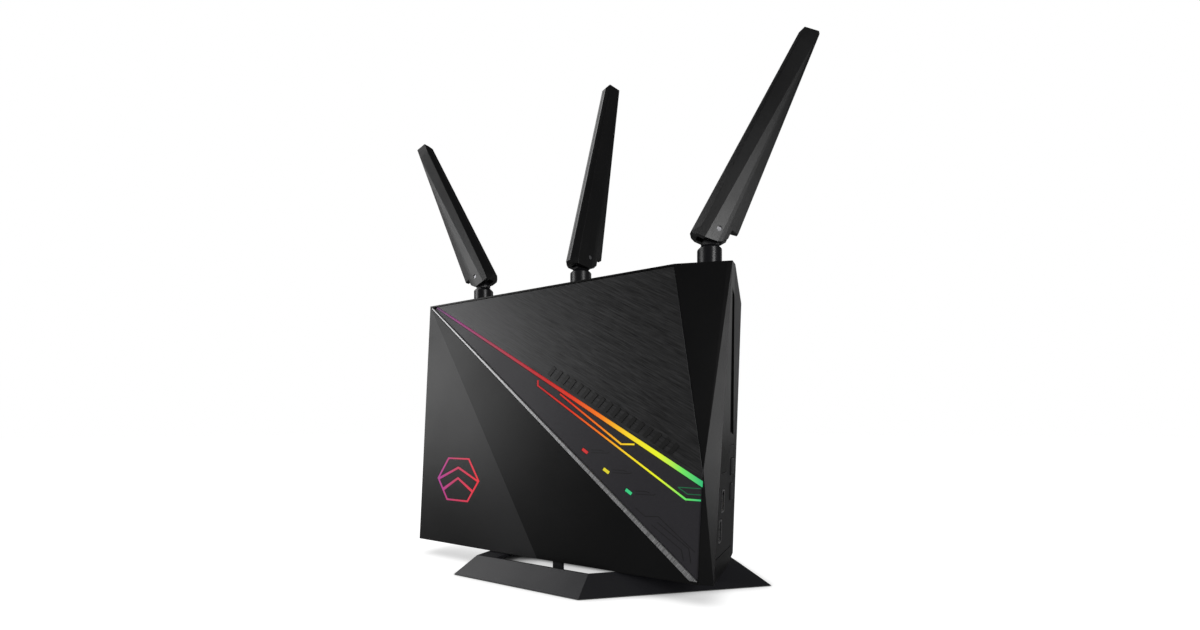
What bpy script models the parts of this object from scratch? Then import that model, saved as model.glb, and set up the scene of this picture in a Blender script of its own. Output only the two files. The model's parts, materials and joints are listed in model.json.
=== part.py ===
"""Wireless router on a low stand, with three folding aerials: one Blender object for each separate piece.

Metres, +Z up. X runs along the front (to the right), Y runs to the back. The origin is the middle of the front
rubber pad's underside. The builders measure Y from the case's front bottom edge, and settle() moves the
finished object onto its origin.
"""

import math

import bmesh
import bpy
from mathutils import Matrix, Vector

MM = 0.001
GAP = 0.3 * MM  # clearance between neighbouring pieces

# Case: a slab with a leaning, faceted front
CASE_LIFT = 11.5 * MM  # underside of the case above the table
CASE_HEIGHT = 187 * MM
CASE_HALF = 117.5 * MM
CASE_DEPTH = 50 * MM
RIGHT_FLARE = 6 * MM  # how far the right end leans out at the top
TOP_FLAT_BACK = 30 * MM  # the flat top ends here and slopes down to the back
BACK_HEIGHT = 168 * MM
FRONT_LEAN = 11.5 * MM  # the front's top edge lies this far behind its bottom edge
CORNER_BACK = 22.5 * MM  # depth of the top right corner, behind the two receding facets
LEAN_ANGLE = math.atan2(FRONT_LEAN, CASE_HEIGHT)

# Landmarks on the front, as (x, height above the case's underside)
CREASE_FOOT = (-1.5 * MM, 0.0)
TOP_LEFT = (-115.5 * MM, CASE_HEIGHT)
TOP_CREASE = (91.5 * MM, CASE_HEIGHT)
FACET_APEX = (111.3 * MM, 64 * MM)
RIM_FOOT = (109.5 * MM, 0.0)
CORNER_FOOT = 3 * MM  # how far the case's lower right corner lies behind the front's foot

# Shell and the panels let into its front
WALL = 3.0 * MM
SIDE_WALL = 3.6 * MM
FASCIA_WALL = 5.0 * MM
POCKET_DEPTH = 2.5 * MM
PANEL_BACK = 2.2 * MM
TRACE_DROP = 0.8 * MM  # the trace panel lies this far below the panel above it
PANEL_LIP = 1.2 * MM  # cover left standing round the pocket
BAR_START = (-109 * MM, 184.9 * MM)
BAR_END = (111 * MM, 56.1 * MM)
BAR_HALF = (0.6 * MM, 1.4 * MM)  # half width at its left and right ends
TRIM_START = (-114 * MM, 185 * MM)
TRIM_END = (106.4 * MM, 1.8 * MM)
TRIM_HALF = (0.6 * MM, 1.5 * MM)
TRACE_WIDTH = 1.0 * MM
LONG_TRACE = ((-6.9, 121.5), (-6.9, 117.8), (100.9, 47.1), (109.9, 47.1))  # as (x, height), in mm
SHORT_TRACE = ((12, 111.1), (58.6, 78.2), (67.8, 78.2))
LENS_FIRST = (32.7 * MM, 73.3 * MM)  # middle of the first status lens, as (x, height)
LENS_STEP = (15.95 * MM, -12.1 * MM)
LENS_SLANT = (1.9 * MM, -1.2 * MM)  # from a lens's middle to its lower end
LENS_HALF = 0.9 * MM
INLAY_DEPTH = 0.9 * MM

# Badge: a hexagon ring with two chevrons
BADGE_R = 22 * MM
BADGE_SQUASH = 0.86
BADGE_LINE = 1.5 * MM
CHEVRON_HEIGHTS = (9 * MM, 1 * MM)  # peaks above the badge's middle
CHEVRON_DROP = 9 * MM

# Seam between the front cover and the rear housing, on the case's side
SEAM_TOP = 29 * MM
SEAM_KNEE = (44 * MM, 75 * MM)

# Aerials: (sleeve x, direction of lean about the vertical, lean from upright)
AERIAL_Y = 40 * MM
AERIALS = ((-85.5 * MM, 182.5, 26.3), (9 * MM, 67.0, 9.8), (105 * MM, 28.0, 24.7))
SOCKET_R = 6.4 * MM
SLEEVE_R = 7.8 * MM
SLEEVE_BASE = 203 * MM
SLEEVE_TOP = 216 * MM
STUB_R = 3.0 * MM
PIN_RISE = 9.5 * MM  # above the sleeve's top
PIN_OFFSET = 5.0 * MM  # from the sleeve's axis, towards the lean
PIN_R = 1.5 * MM
TONGUE_R = 5.5 * MM
TONGUE_HALF = 2.5 * MM
SLOT_HALF = 2.8 * MM
BLADE_LENGTH = 140.5 * MM  # from the hinge pin to the tip
BLADE_LOW = 9.2 * MM  # from the hinge pin down to the blade's lower end
LOBE_R = 8.0 * MM  # rounding of the blade's lower end about the pin

# Stand
STAND_UNDER = 0.5 * MM
STAND_TOP = 11.0 * MM
PAD_TOP = 1.7 * MM
POST_LEFT = 10.2 * MM
POST_WIDTH = 7 * MM
PAD_Y = -17 * MM  # middle of the front pad, before the object is moved onto its origin
FRONT_PAD_HALF = (35 * MM, 4 * MM)

SLATE = (0.035, 0.036, 0.039, 1.0)


def clear_scene():
    """Remove whatever the startup file holds."""
    for obj in list(bpy.data.objects):
        bpy.data.objects.remove(obj, do_unlink=True)


def collection(name):
    """A new collection linked to the scene."""
    made = bpy.data.collections.new(name)
    bpy.context.scene.collection.children.link(made)
    return made


def material(name, colour, roughness, metallic=0.0, glow=0.0):
    """A plain Principled material."""
    made = bpy.data.materials.new(name)
    made.use_nodes = True
    shader = made.node_tree.nodes["Principled BSDF"]
    shader.inputs["Base Color"].default_value = colour
    shader.inputs["Roughness"].default_value = roughness
    shader.inputs["Metallic"].default_value = metallic
    if glow:
        shader.inputs["Emission Color"].default_value = colour
        shader.inputs["Emission Strength"].default_value = glow
    return made


def add(name, mesh_or_curve, home, finish=None):
    """Link a mesh or curve as an object."""
    obj = bpy.data.objects.new(name, mesh_or_curve)
    home.objects.link(obj)
    if finish:
        obj.data.materials.append(finish)
    return obj


def as_cutter(obj):
    """Hide a shape that only cuts others."""
    obj.hide_render = True
    obj.display_type = "WIRE"
    return obj


def mesh_object(name, build, home, finish=None):
    """An object whose mesh is made by build(bm)."""
    mesh = bpy.data.meshes.new(name)
    bm = bmesh.new()
    build(bm)
    bmesh.ops.recalc_face_normals(bm, faces=bm.faces[:])
    bm.to_mesh(mesh)
    bm.free()
    return add(name, mesh, home, finish)


def hull(name, points, home, finish=None):
    """The convex solid around the points."""

    def build(bm):
        for point in points:
            bm.verts.new(point)
        made = bmesh.ops.convex_hull(bm, input=bm.verts[:])
        spare = [v for v in made["geom_interior"] if isinstance(v, bmesh.types.BMVert)]
        bmesh.ops.delete(bm, geom=spare, context="VERTS")
        bmesh.ops.dissolve_limit(bm, angle_limit=0.0005, verts=bm.verts[:], edges=bm.edges[:])

    return mesh_object(name, build, home, finish)


def box(name, low, high, home, finish=None):
    """A box between two corners."""
    low, high = Vector(low), Vector(high)
    place = Matrix.Translation((low + high) / 2) @ Matrix.Diagonal((*(high - low), 1.0))
    return mesh_object(name, lambda bm: bmesh.ops.create_cube(bm, size=1.0, matrix=place), home, finish)


def boxes(name, corners, home):
    """Several separate boxes in one mesh, as a cutter."""

    def build(bm):
        for low, high in corners:
            low, high = Vector(low), Vector(high)
            place = Matrix.Translation((low + high) / 2) @ Matrix.Diagonal((*(high - low), 1.0))
            bmesh.ops.create_cube(bm, size=1.0, matrix=place)

    return as_cutter(mesh_object(name, build, home))


def rod(name, radius, start, end, home, finish=None, segments=32):
    """A round bar between two points."""
    start, end = Vector(start), Vector(end)
    along = end - start
    place = Matrix.Translation((start + end) / 2) @ along.to_track_quat("Z", "Y").to_matrix().to_4x4()

    def build(bm):
        bmesh.ops.create_cone(
            bm, cap_ends=True, segments=segments, radius1=radius, radius2=radius, depth=along.length, matrix=place
        )

    obj = mesh_object(name, build, home, finish)
    obj.data.shade_smooth()
    obj.data.set_sharp_from_angle(angle=math.radians(40))
    return obj


def turned(name, profile, place, home, finish, steps=32):
    """A turned solid from an (r, z) profile that runs down its outer side."""
    mesh = bpy.data.meshes.new(name)
    points = [(r, 0.0, z) for r, z in profile]
    mesh.from_pydata(points, [(i, i + 1) for i in range(len(points) - 1)], [])
    obj = add(name, mesh, home, finish)
    obj.matrix_world = place
    screw = obj.modifiers.new("Turn", "SCREW")
    screw.axis = "Z"
    screw.steps = steps
    screw.render_steps = steps
    screw.use_merge_vertices = True
    screw.merge_threshold = 0.00001
    screw.use_smooth_shade = False
    return obj


def plate(name, outlines, near, far, place, home, finish=None):
    """A flat shape cut to outlines, from local height near to far. Inner outlines are holes."""
    curve = bpy.data.curves.new(name, "CURVE")
    curve.dimensions = "2D"
    curve.fill_mode = "BOTH"
    curve.extrude = abs(far - near) / 2
    for outline in outlines:
        spline = curve.splines.new("POLY")
        spline.points.add(len(outline) - 1)
        for point, (x, y) in zip(spline.points, outline):
            point.co = (x, y, 0.0, 1.0)
        spline.use_cyclic_u = True
    source = bpy.data.objects.new(name + "_outline", curve)
    home.objects.link(source)
    graph = bpy.context.evaluated_depsgraph_get()
    mesh = bpy.data.meshes.new_from_object(source.evaluated_get(graph))
    bpy.data.objects.remove(source, do_unlink=True)
    bm = bmesh.new()
    bm.from_mesh(mesh)
    bmesh.ops.remove_doubles(bm, verts=bm.verts[:], dist=0.000001)
    bmesh.ops.recalc_face_normals(bm, faces=bm.faces[:])
    bm.to_mesh(mesh)
    bm.free()
    obj = add(name, mesh, home, finish)
    obj.matrix_world = place @ Matrix.Translation((0, 0, (near + far) / 2))
    return obj


def cut(target, *cutters, operation="DIFFERENCE"):
    """Boolean modifiers on the target, one for each cutter."""
    for cutter in cutters:
        modifier = target.modifiers.new(cutter.name, "BOOLEAN")
        modifier.operation = operation
        modifier.object = cutter
        modifier.solver = "EXACT"
    return target


def arc(centre, radius, start, end, count):
    """Points on an arc, angles in degrees."""
    steps = [math.radians(start + (end - start) * i / count) for i in range(count + 1)]
    return [(centre[0] + radius * math.cos(a), centre[1] + radius * math.sin(a)) for a in steps]


def band(points, half_widths):
    """The outline of a band that follows a polyline, with mitred corners."""
    widths = [half_widths] * len(points) if isinstance(half_widths, float) else list(half_widths)
    left, right = [], []
    for i, point in enumerate(points):
        here = Vector(point)
        before = (here - Vector(points[i - 1])).normalized() if i else None
        after = (Vector(points[i + 1]) - here).normalized() if i + 1 < len(points) else None
        before, after = before or after, after or before
        along = (before + after).normalized()
        side = Vector((-along.y, along.x)) * widths[i] / max(0.4, along.dot(before))
        left.append(tuple(here + side))
        right.append(tuple(here - side))
    return left + right[::-1]


def grow(outline, clearance):
    """A closed outline, drawn anticlockwise, moved outwards by the clearance with mitred corners."""
    moved = []
    for i, point in enumerate(outline):
        here = Vector(point)
        before = (here - Vector(outline[i - 1])).normalized()
        after = (Vector(outline[(i + 1) % len(outline)]) - here).normalized()
        along = (before + after).normalized()
        outward = Vector((along.y, -along.x))
        moved.append(tuple(here + outward * clearance / along.dot(before)))
    return moved


def sides_of(line, half_widths, clearance):
    """The upper and lower side lines of a straight band that runs to the right."""
    start, end = Vector(line[0]), Vector(line[1])
    along = (end - start).normalized()
    up = Vector((-along.y, along.x))
    wide = [half + clearance for half in half_widths]
    upper = [tuple(start + up * wide[0]), tuple(end + up * wide[1])]
    lower = [tuple(start - up * wide[0]), tuple(end - up * wide[1])]
    return upper, lower


def meet(first, second):
    """The point where two lines, each given by two points, cross."""
    a, b = Vector(first[0]), Vector(first[1])
    c, d = Vector(second[0]), Vector(second[1])
    along, other = b - a, d - c
    share = (c - a).cross(other) / along.cross(other)
    return tuple(a + along * share)


clear_scene()
router = collection("wireless_router")
cutters = collection("cutters")

FINISHES = {
    "satin_black": material("satin_black", SLATE, 0.42),
    "brushed": material("brushed", (0.06, 0.06, 0.064, 1.0), 0.38, 0.6),
    "trace_black": material("trace_black", (0.05, 0.048, 0.054, 1.0), 0.5),
    "trim_silver": material("trim_silver", (0.28, 0.28, 0.29, 1.0), 0.35, 0.8),
    "light": material("light", (1.0, 0.25, 0.1, 1.0), 0.3, 0.0, 3.0),
    "matt_black": material("matt_black", (0.02, 0.02, 0.022, 1.0), 0.6),
    "metal": material("metal", (0.6, 0.6, 0.62, 1.0), 0.3, 1.0),
    "brass": material("brass", (0.7, 0.52, 0.22, 1.0), 0.3, 1.0),
    "board": material("board", (0.02, 0.1, 0.05, 1.0), 0.5),
    "rubber": material("rubber", (0.02, 0.02, 0.02, 1.0), 0.85),
}

# The front panels share one leaning plane: local x along the front, local y up it, local z out of it.
FASCIA = Matrix.Translation((0, 0, CASE_LIFT)) @ Matrix.Rotation(math.pi / 2 - LEAN_ANGLE, 4, "X")
UP_FACTOR = 1 / math.cos(LEAN_ANGLE)


def on_front(point):
    """An (x, height) landmark in the fascia plane's own coordinates."""
    return (point[0], point[1] * UP_FACTOR)


def side_x(height, inset=0.0):
    """The right end's x at a height above the case's underside."""
    return CASE_HALF + RIGHT_FLARE * height / CASE_HEIGHT - inset


def front_y(height):
    """The leaning front's y at a height above the case's underside."""
    return FRONT_LEAN * height / CASE_HEIGHT


def envelope(front, side, back):
    """Corner points of the case's outer form, shrunk by the given wall thicknesses."""
    top, low = CASE_HEIGHT - back, back
    left_low, left_top = -CASE_HALF - 1 * MM + side, TOP_LEFT[0] - 1 * MM + side
    knee, rise_1, rise_2 = 37 * MM, 3.5 * MM, 7.5 * MM
    facet_top = (121 * MM, 21.5 * MM)
    points = [
        (left_low, 2.5 * MM + front, low),
        (left_top, FRONT_LEAN + front, top),
        (CREASE_FOOT[0], front, low),
        (RIM_FOOT[0], front, low),
        (TOP_CREASE[0], FRONT_LEAN + front, top),
        (FACET_APEX[0] - 0.3 * front, front_y(FACET_APEX[1]) + front, FACET_APEX[1]),
        (facet_top[0] - side, facet_top[1] + front, top),
        (side_x(0, side), CORNER_FOOT + front, low),
        (side_x(CASE_HEIGHT, side), CORNER_BACK + front, top),
    ]
    for x_low, x_top in ((left_low, left_top), (side_x(0, side), side_x(CASE_HEIGHT, side))):
        points += [
            (x_low, knee, rise_1 + low),
            (x_low, CASE_DEPTH - back, rise_2 + low),
            (x_low + (x_top - x_low) * BACK_HEIGHT / CASE_HEIGHT, CASE_DEPTH - back, BACK_HEIGHT - back),
            (x_top, max(TOP_FLAT_BACK, CORNER_BACK + front + 1 * MM), top),
        ]
    return [(x, y, h + CASE_LIFT) for x, y, h in points]


def seam_prism(name, shift):
    """The space behind the seam, as a prism along x."""
    over, far = 30 * MM, 90 * MM
    knee_y, knee_h = SEAM_KNEE
    slope = (SEAM_TOP - knee_y) / (CASE_HEIGHT - knee_h)
    section = [
        (SEAM_TOP + slope * over + shift, CASE_LIFT + CASE_HEIGHT + over),
        (knee_y + shift, CASE_LIFT + knee_h),
        (knee_y + shift, -over),
        (far, -over),
        (far, CASE_LIFT + CASE_HEIGHT + over),
    ]
    across = Matrix.Rotation(math.pi / 2, 4, "Z") @ Matrix.Rotation(math.pi / 2, 4, "X")
    return as_cutter(plate(name, [section], -200 * MM, 200 * MM, across, cutters))


def build_case():
    """Front cover and rear housing, still without their openings."""
    inner = as_cutter(hull("case_inner", envelope(FASCIA_WALL, SIDE_WALL, WALL), cutters))
    front = hull("front_cover", envelope(0, 0, 0), router, FINISHES["satin_black"])
    rear = hull("rear_housing", envelope(0, 0, 0), router, FINISHES["matt_black"])
    cut(front, seam_prism("seam_front", -GAP), inner)
    cut(rear, seam_prism("seam_rear", 0.0), operation="INTERSECT")
    cut(rear, inner)
    return front, rear


def bar_point(share):
    """A point on the light bar's centre line."""
    return tuple(a + (b - a) * share for a, b in zip(BAR_START, BAR_END))


def build_fascia(front):
    """The brushed upper panel, trace panel, trim, light bar and lit traces."""
    bar = [on_front(BAR_START), on_front(BAR_END)]
    trim = [on_front(TRIM_START), on_front(TRIM_END)]
    corner = on_front((TRIM_START[0] - 0.9 * MM, CASE_HEIGHT - PANEL_LIP))
    crease, apex = on_front((TOP_CREASE[0], CASE_HEIGHT - PANEL_LIP)), on_front(FACET_APEX)
    foot = on_front((RIM_FOOT[0], PANEL_LIP))
    foot_line = [foot, (corner[0], foot[1])]
    trim_low = sides_of(trim, TRIM_HALF, GAP)[1]
    pocket = [corner, crease, apex, foot, meet(trim_low, foot_line), (corner[0], trim_low[0][1])]
    cut(front, as_cutter(plate("fascia_pocket", [pocket], -POCKET_DEPTH, 8 * MM, FASCIA, cutters)))

    inset = 0.35 * MM
    top_line = [(corner[0], corner[1] - inset), (crease[0], crease[1] - inset)]
    edge_line = [(apex[0] - inset, apex[1]), (foot[0] - inset, foot[1])]
    facet_line = [(crease[0] - inset, crease[1]), (apex[0] - inset, apex[1])]
    end_line = [(corner[0], foot[1] + inset), (foot[0], foot[1] + inset)]
    bar_high, bar_low = sides_of(bar, BAR_HALF, GAP)
    trim_high = sides_of(trim, TRIM_HALF, GAP)[0]

    upper = [meet(bar_high, top_line), meet(top_line, facet_line), facet_line[1], meet(bar_high, edge_line)]
    plate("upper_panel", [upper], -PANEL_BACK, -0.05 * MM, FASCIA, router, FINISHES["brushed"])

    left = meet(bar_low, trim_high)[0] + 6 * MM
    left_line = [(left, 0.0), (left, 1.0)]
    lower = [meet(bar_low, left_line), meet(bar_low, edge_line), meet(trim_high, edge_line)]
    lower.append(meet(trim_high, left_line))
    panel = plate("trace_panel", [lower], -PANEL_BACK, -TRACE_DROP, FASCIA, router, FINISHES["trace_black"])

    high, low = sides_of(trim, TRIM_HALF, 0.0)
    strip = [high[0], meet(high, end_line), meet(low, end_line), low[0]]
    plate("diagonal_trim", [strip], -PANEL_BACK, 0.4 * MM, FASCIA, router, FINISHES["trim_silver"])
    high, low = sides_of(bar, BAR_HALF, 0.0)
    glow = [high[0], meet(high, edge_line), meet(low, edge_line), low[0]]
    plate("light_bar", [glow], -PANEL_BACK, -0.1 * MM, FASCIA, router, FINISHES["light"])

    for name, route in (("light_trace_long", LONG_TRACE), ("light_trace_short", SHORT_TRACE)):
        route = [on_front((x * MM, height * MM)) for x, height in route]
        groove = [band(route, TRACE_WIDTH / 2 + 0.3 * MM)]
        cut(panel, as_cutter(plate(name + "_groove", groove, -TRACE_DROP - INLAY_DEPTH, 5 * MM, FASCIA, cutters)))
        lit = [band(route, TRACE_WIDTH / 2)]
        floor = -TRACE_DROP - INLAY_DEPTH + GAP
        plate(name, lit, floor, -TRACE_DROP + 0.1 * MM, FASCIA, router, FINISHES["light"])

    slant = Vector(LENS_SLANT)
    for i in range(3):
        middle = Vector(on_front([first + i * step for first, step in zip(LENS_FIRST, LENS_STEP)]))
        name = f"status_lens_{i + 1}"
        longer = slant * (1 + GAP / slant.length)
        seat = band([middle - longer, middle + longer], LENS_HALF + GAP)
        cut(panel, as_cutter(plate(name + "_seat", [seat], -TRACE_DROP - INLAY_DEPTH, 5 * MM, FASCIA, cutters)))
        pill = band([middle - slant, middle + slant], LENS_HALF)
        floor = -TRACE_DROP - INLAY_DEPTH + GAP
        plate(name, [pill], floor, -TRACE_DROP + 0.1 * MM, FASCIA, router, FINISHES["light"])


def badge_outlines(clearance):
    """A plain hexagon ring crossed by two chevrons, in its own plane, as an outer outline and its three holes."""
    outer, inner, rib = BADGE_R + clearance, BADGE_R - BADGE_LINE - clearance, BADGE_LINE / 2 + clearance
    corners = [(math.cos(math.radians(60 * i)), BADGE_SQUASH * math.sin(math.radians(60 * i))) for i in range(6)]
    ring = [(outer * x, outer * y) for x, y in corners]
    right, high_right, high_left, left, low_left, low_right = [(inner * x, inner * y) for x, y in corners]
    side_slope = (high_right[0] - right[0]) / high_right[1]

    def chevron(height, shift):
        """The left end, peak and right end of a chevron's upper or lower edge, on the ring's inner sides."""
        end = height - CHEVRON_DROP + shift
        reach = right[0] + side_slope * abs(end)
        return [(-reach, end), (0.0, height + shift), (reach, end)]

    upper, lower = CHEVRON_HEIGHTS
    above = [high_right, high_left, *chevron(upper, rib)]
    between = chevron(upper, -rib)[::-1] + chevron(lower, rib)
    below = [*chevron(lower, -rib)[::-1], low_left, low_right]
    return [ring, above, between, below]


def build_badge(front):
    """The lit badge, let into the lower left facet."""
    corner = Vector((-CASE_HALF - 1 * MM, 2.5 * MM, 0.0))
    foot = Vector((CREASE_FOOT[0], 0.0, 0.0))
    peak = Vector((TOP_LEFT[0] - 1 * MM, FRONT_LEAN, CASE_HEIGHT))
    along = (foot - corner).normalized()
    normal = along.cross(peak - corner).normalized()
    up = normal.cross(along)
    middle = Vector((-78.5 * MM, 0.0, 49 * MM))
    middle.y = corner.y + (normal.x * (corner.x - middle.x) + normal.z * (corner.z - middle.z)) / normal.y
    rotation = Matrix((along, up, normal)).transposed().to_4x4()
    place = Matrix.Translation(middle + Vector((0, 0, CASE_LIFT))) @ rotation
    seat = plate("badge_seat", badge_outlines(GAP), -1.4 * MM, 4 * MM, place, cutters)
    cut(front, as_cutter(seat))
    plate("badge_lens", badge_outlines(0.0), -1.1 * MM, 0.1 * MM, place, router, FINISHES["light"])


def port_shell(name, low, high, mouth, axis, finish, wall):
    """A socket: a box with a blind mouth on the high side of an axis."""
    body = box(name, low, high, router, FINISHES[finish])
    cut_low = [a + wall for a in low]
    cut_high = [b - wall for b in high]
    cut_high[axis] = high[axis] + 5 * MM
    cut_low[axis] = high[axis] - mouth
    return cut(body, as_cutter(box(name + "_mouth", cut_low, cut_high, cutters)))


def build_side(front):
    """Side panel with two USB sockets and two push buttons, let into the right end."""
    tilt = math.atan2(RIGHT_FLARE, CASE_HEIGHT)
    # Local x runs back, local y runs up, local z points out of the right end
    place = Matrix.Translation((CASE_HALF, 0, CASE_LIFT)) @ Matrix.Rotation(tilt, 4, "Y")
    place = place @ Matrix(((0, 0, 1, 0), (1, 0, 0, 0), (0, 1, 0, 0), (0, 0, 0, 1)))
    outline = [(5.5 * MM, 14 * MM), (42 * MM, 14 * MM), (42 * MM, 78 * MM), (33 * MM, 78 * MM)]
    outline += [(25 * MM, 62 * MM), (10.5 * MM, 62 * MM)]
    cut(front, as_cutter(plate("side_pocket", [grow(outline, GAP)], -1.5 * MM, 6 * MM, place, cutters)))
    panel = plate("side_panel", [outline], -1.2 * MM, -0.1 * MM, place, router, FINISHES["matt_black"])

    usb_depth, usb_half_y, usb_half_z = 14 * MM, 2.9 * MM, 6.6 * MM
    for i, (y, h) in enumerate(((18 * MM, 45.5 * MM), (13.5 * MM, 28.5 * MM))):
        face = side_x(h) - 0.4 * MM
        low = (face - usb_depth, y - usb_half_y, CASE_LIFT + h - usb_half_z)
        high = (face, y + usb_half_y, CASE_LIFT + h + usb_half_z)
        port_shell(f"usb_port_{i + 1}", low, high, 12 * MM, 0, "metal", 0.45 * MM)
        hole_low = tuple(a - GAP for a in low)
        hole_high = (high[0] + 6 * MM, high[1] + GAP, high[2] + GAP)
        hole = as_cutter(box(f"usb_hole_{i + 1}", hole_low, hole_high, cutters))
        cut(front, hole)
        cut(panel, hole)

    button_y, button_half_y, button_half_z = 37.5 * MM, 2.6 * MM, 5.0 * MM
    for i, h in enumerate((64.5 * MM, 49 * MM)):
        face = side_x(h) + 0.9 * MM
        low = (face - 6.5 * MM, button_y - button_half_y, CASE_LIFT + h - button_half_z)
        high = (face, button_y + button_half_y, CASE_LIFT + h + button_half_z)
        button = box(f"side_button_{i + 1}", (0, 0, 0), [b - a for a, b in zip(low, high)], router)
        button.location = low
        button.data.materials.append(FINISHES["matt_black"])
        round_edges(button, 0.5 * MM)
        room = 0.4 * MM
        hole_low = (low[0] - 2 * MM, low[1] - room, low[2] - room)
        hole = box(f"button_hole_{i + 1}", hole_low, [b + room for b in high], cutters)
        cut(front, as_cutter(hole))
        cut(panel, hole)

    groove = [(30.5 * MM, 86 * MM), (40 * MM, 84 * MM), (30.5 * MM, 168 * MM), (24.5 * MM, 172 * MM)]
    cut(front, as_cutter(plate("side_groove", [groove], -1.3 * MM, 6 * MM, place, cutters)))


def round_edges(obj, width, segments=2):
    """A bevel on the object's sharp edges."""
    bevel = obj.modifiers.new("Edges", "BEVEL")
    bevel.width = width
    bevel.segments = segments
    bevel.limit_method = "ANGLE"
    return obj


def build_rear(rear):
    """Sockets, power and reset buttons and the vents in the back, and the screws that close the case."""
    back = CASE_DEPTH
    port_half, port_low, port_high = 8 * MM, CASE_LIFT + 24 * MM, CASE_LIFT + 38 * MM
    pitch = 18 * MM
    names = ["wan_port", "lan_port_1", "lan_port_2", "lan_port_3", "lan_port_4"]
    for i, name in enumerate(names):
        x = -22 * MM + i * pitch
        low = (x - port_half, 36 * MM, port_low)
        high = (x + port_half, back - 0.2 * MM, port_high)
        port_shell(name, low, high, 12 * MM, 1, "matt_black", 2.0 * MM)
        hole = box(name + "_hole", [a - GAP for a in low], (high[0] + GAP, back + 5 * MM, high[2] + GAP), cutters)
        cut(rear, as_cutter(hole))

    jack_x, jack_h = -64 * MM, CASE_LIFT + 31 * MM
    jack = box("dc_jack", (jack_x - 5 * MM, 37 * MM, jack_h - 5.5 * MM), (jack_x + 5 * MM, back - 0.2 * MM,
               jack_h + 5.5 * MM), router, FINISHES["matt_black"])
    cut(jack, as_cutter(rod("jack_bore", 3.1 * MM, (jack_x, back - 11 * MM, jack_h), (jack_x, back + 6 * MM, jack_h),
                            cutters)))
    hole = box("jack_hole", (jack_x - 5.3 * MM, 30 * MM, jack_h - 5.8 * MM),
               (jack_x + 5.3 * MM, back + 5 * MM, jack_h + 5.8 * MM), cutters)
    cut(rear, as_cutter(hole))

    round_buttons = (("power_button", -86 * MM, 4.5 * MM, 1.6 * MM), ("reset_button", 82 * MM, 1.5 * MM, -0.6 * MM))
    for name, x, radius, proud in round_buttons:
        tail = rod(name, radius, (0, -6.5 * MM, 0), (0, proud, 0), router, FINISHES["matt_black"], 28)
        tail.location = (x, back, jack_h)
        hole = rod(name + "_hole", radius + 0.4 * MM, (x, back - 20 * MM, jack_h), (x, back + 6 * MM, jack_h), cutters)
        cut(rear, as_cutter(hole))

    slots = []
    for i in range(22):
        x = -94.5 * MM + i * 9 * MM
        slots.append(((x - 1.6 * MM, back - 8 * MM, CASE_LIFT + 62 * MM), (x + 1.6 * MM, back + 5 * MM,
                      CASE_LIFT + 142 * MM)))
    cut(rear, boxes("back_vents", slots, cutters))

    for i, (x, h) in enumerate(((-105, 152), (105, 152), (-105, 22), (105, 22))):
        x, z = x * MM, CASE_LIFT + h * MM
        facing_back = Matrix.Translation((x, back - 0.4 * MM, z)) @ Matrix.Rotation(-math.pi / 2, 4, "X")
        profile = [(0, 0), (2.6 * MM, 0), (2.9 * MM, -0.3 * MM), (2.9 * MM, -1.3 * MM), (1.2 * MM, -1.3 * MM)]
        profile += [(1.2 * MM, -9 * MM), (0, -9.8 * MM)]
        turned(f"housing_screw_{i + 1}", profile, facing_back, router, FINISHES["metal"], 20)
        head = rod(f"screw_head_seat_{i + 1}", 3.2 * MM, (x, back - 2.0 * MM, z), (x, back + 5 * MM, z), cutters)
        shank = rod(f"screw_shank_{i + 1}", 1.5 * MM, (x, back - 12 * MM, z), (x, back - 1 * MM, z), cutters)
        cut(rear, as_cutter(head), as_cutter(shank))


def build_inside():
    """Main board with its heat sink and radio shield, and the light board behind the fascia."""
    low, high = CASE_LIFT + 16 * MM, CASE_LIFT + 150 * MM
    board_back = 35.2 * MM
    board_front = board_back - 1.6 * MM
    box("main_board", (-100 * MM, board_front, low), (96 * MM, board_back, high), router, FINISHES["board"])
    fins = 12
    width, foot, pitch = 66 * MM, 3 * MM, 66 * MM / 11.5
    comb = [(0, 0), (width, 0)]
    for i in range(fins):
        right = width - i * pitch
        left = right - pitch / 2
        comb += [(right, 10 * MM), (left, 10 * MM)]
        if i < fins - 1:
            comb += [(left, foot), (left - pitch / 2, foot)]
    # The comb is drawn in plan, its base against the board, and extruded upwards
    turn = Matrix.Translation((-10 * MM + width, board_front - GAP, 0)) @ Matrix.Rotation(math.pi, 4, "Z")
    plate("heat_sink", [comb], CASE_LIFT + 58 * MM, CASE_LIFT + 118 * MM, turn, router, FINISHES["metal"])
    shield_low = (-88 * MM, board_front - GAP - 4 * MM, CASE_LIFT + 84 * MM)
    shield_high = (-24 * MM, board_front - GAP, CASE_LIFT + 140 * MM)
    round_edges(box("radio_shield", shield_low, shield_high, router, FINISHES["metal"]), 0.8 * MM)
    depth = FASCIA_WALL + 2.0 * MM
    run = [on_front(bar_point(0.1)), on_front(bar_point(0.93))]
    strip = [band(run, 9 * MM)]
    plate("light_board", strip, -depth - 1.2 * MM, -depth, FASCIA, router, FINISHES["board"])


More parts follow.
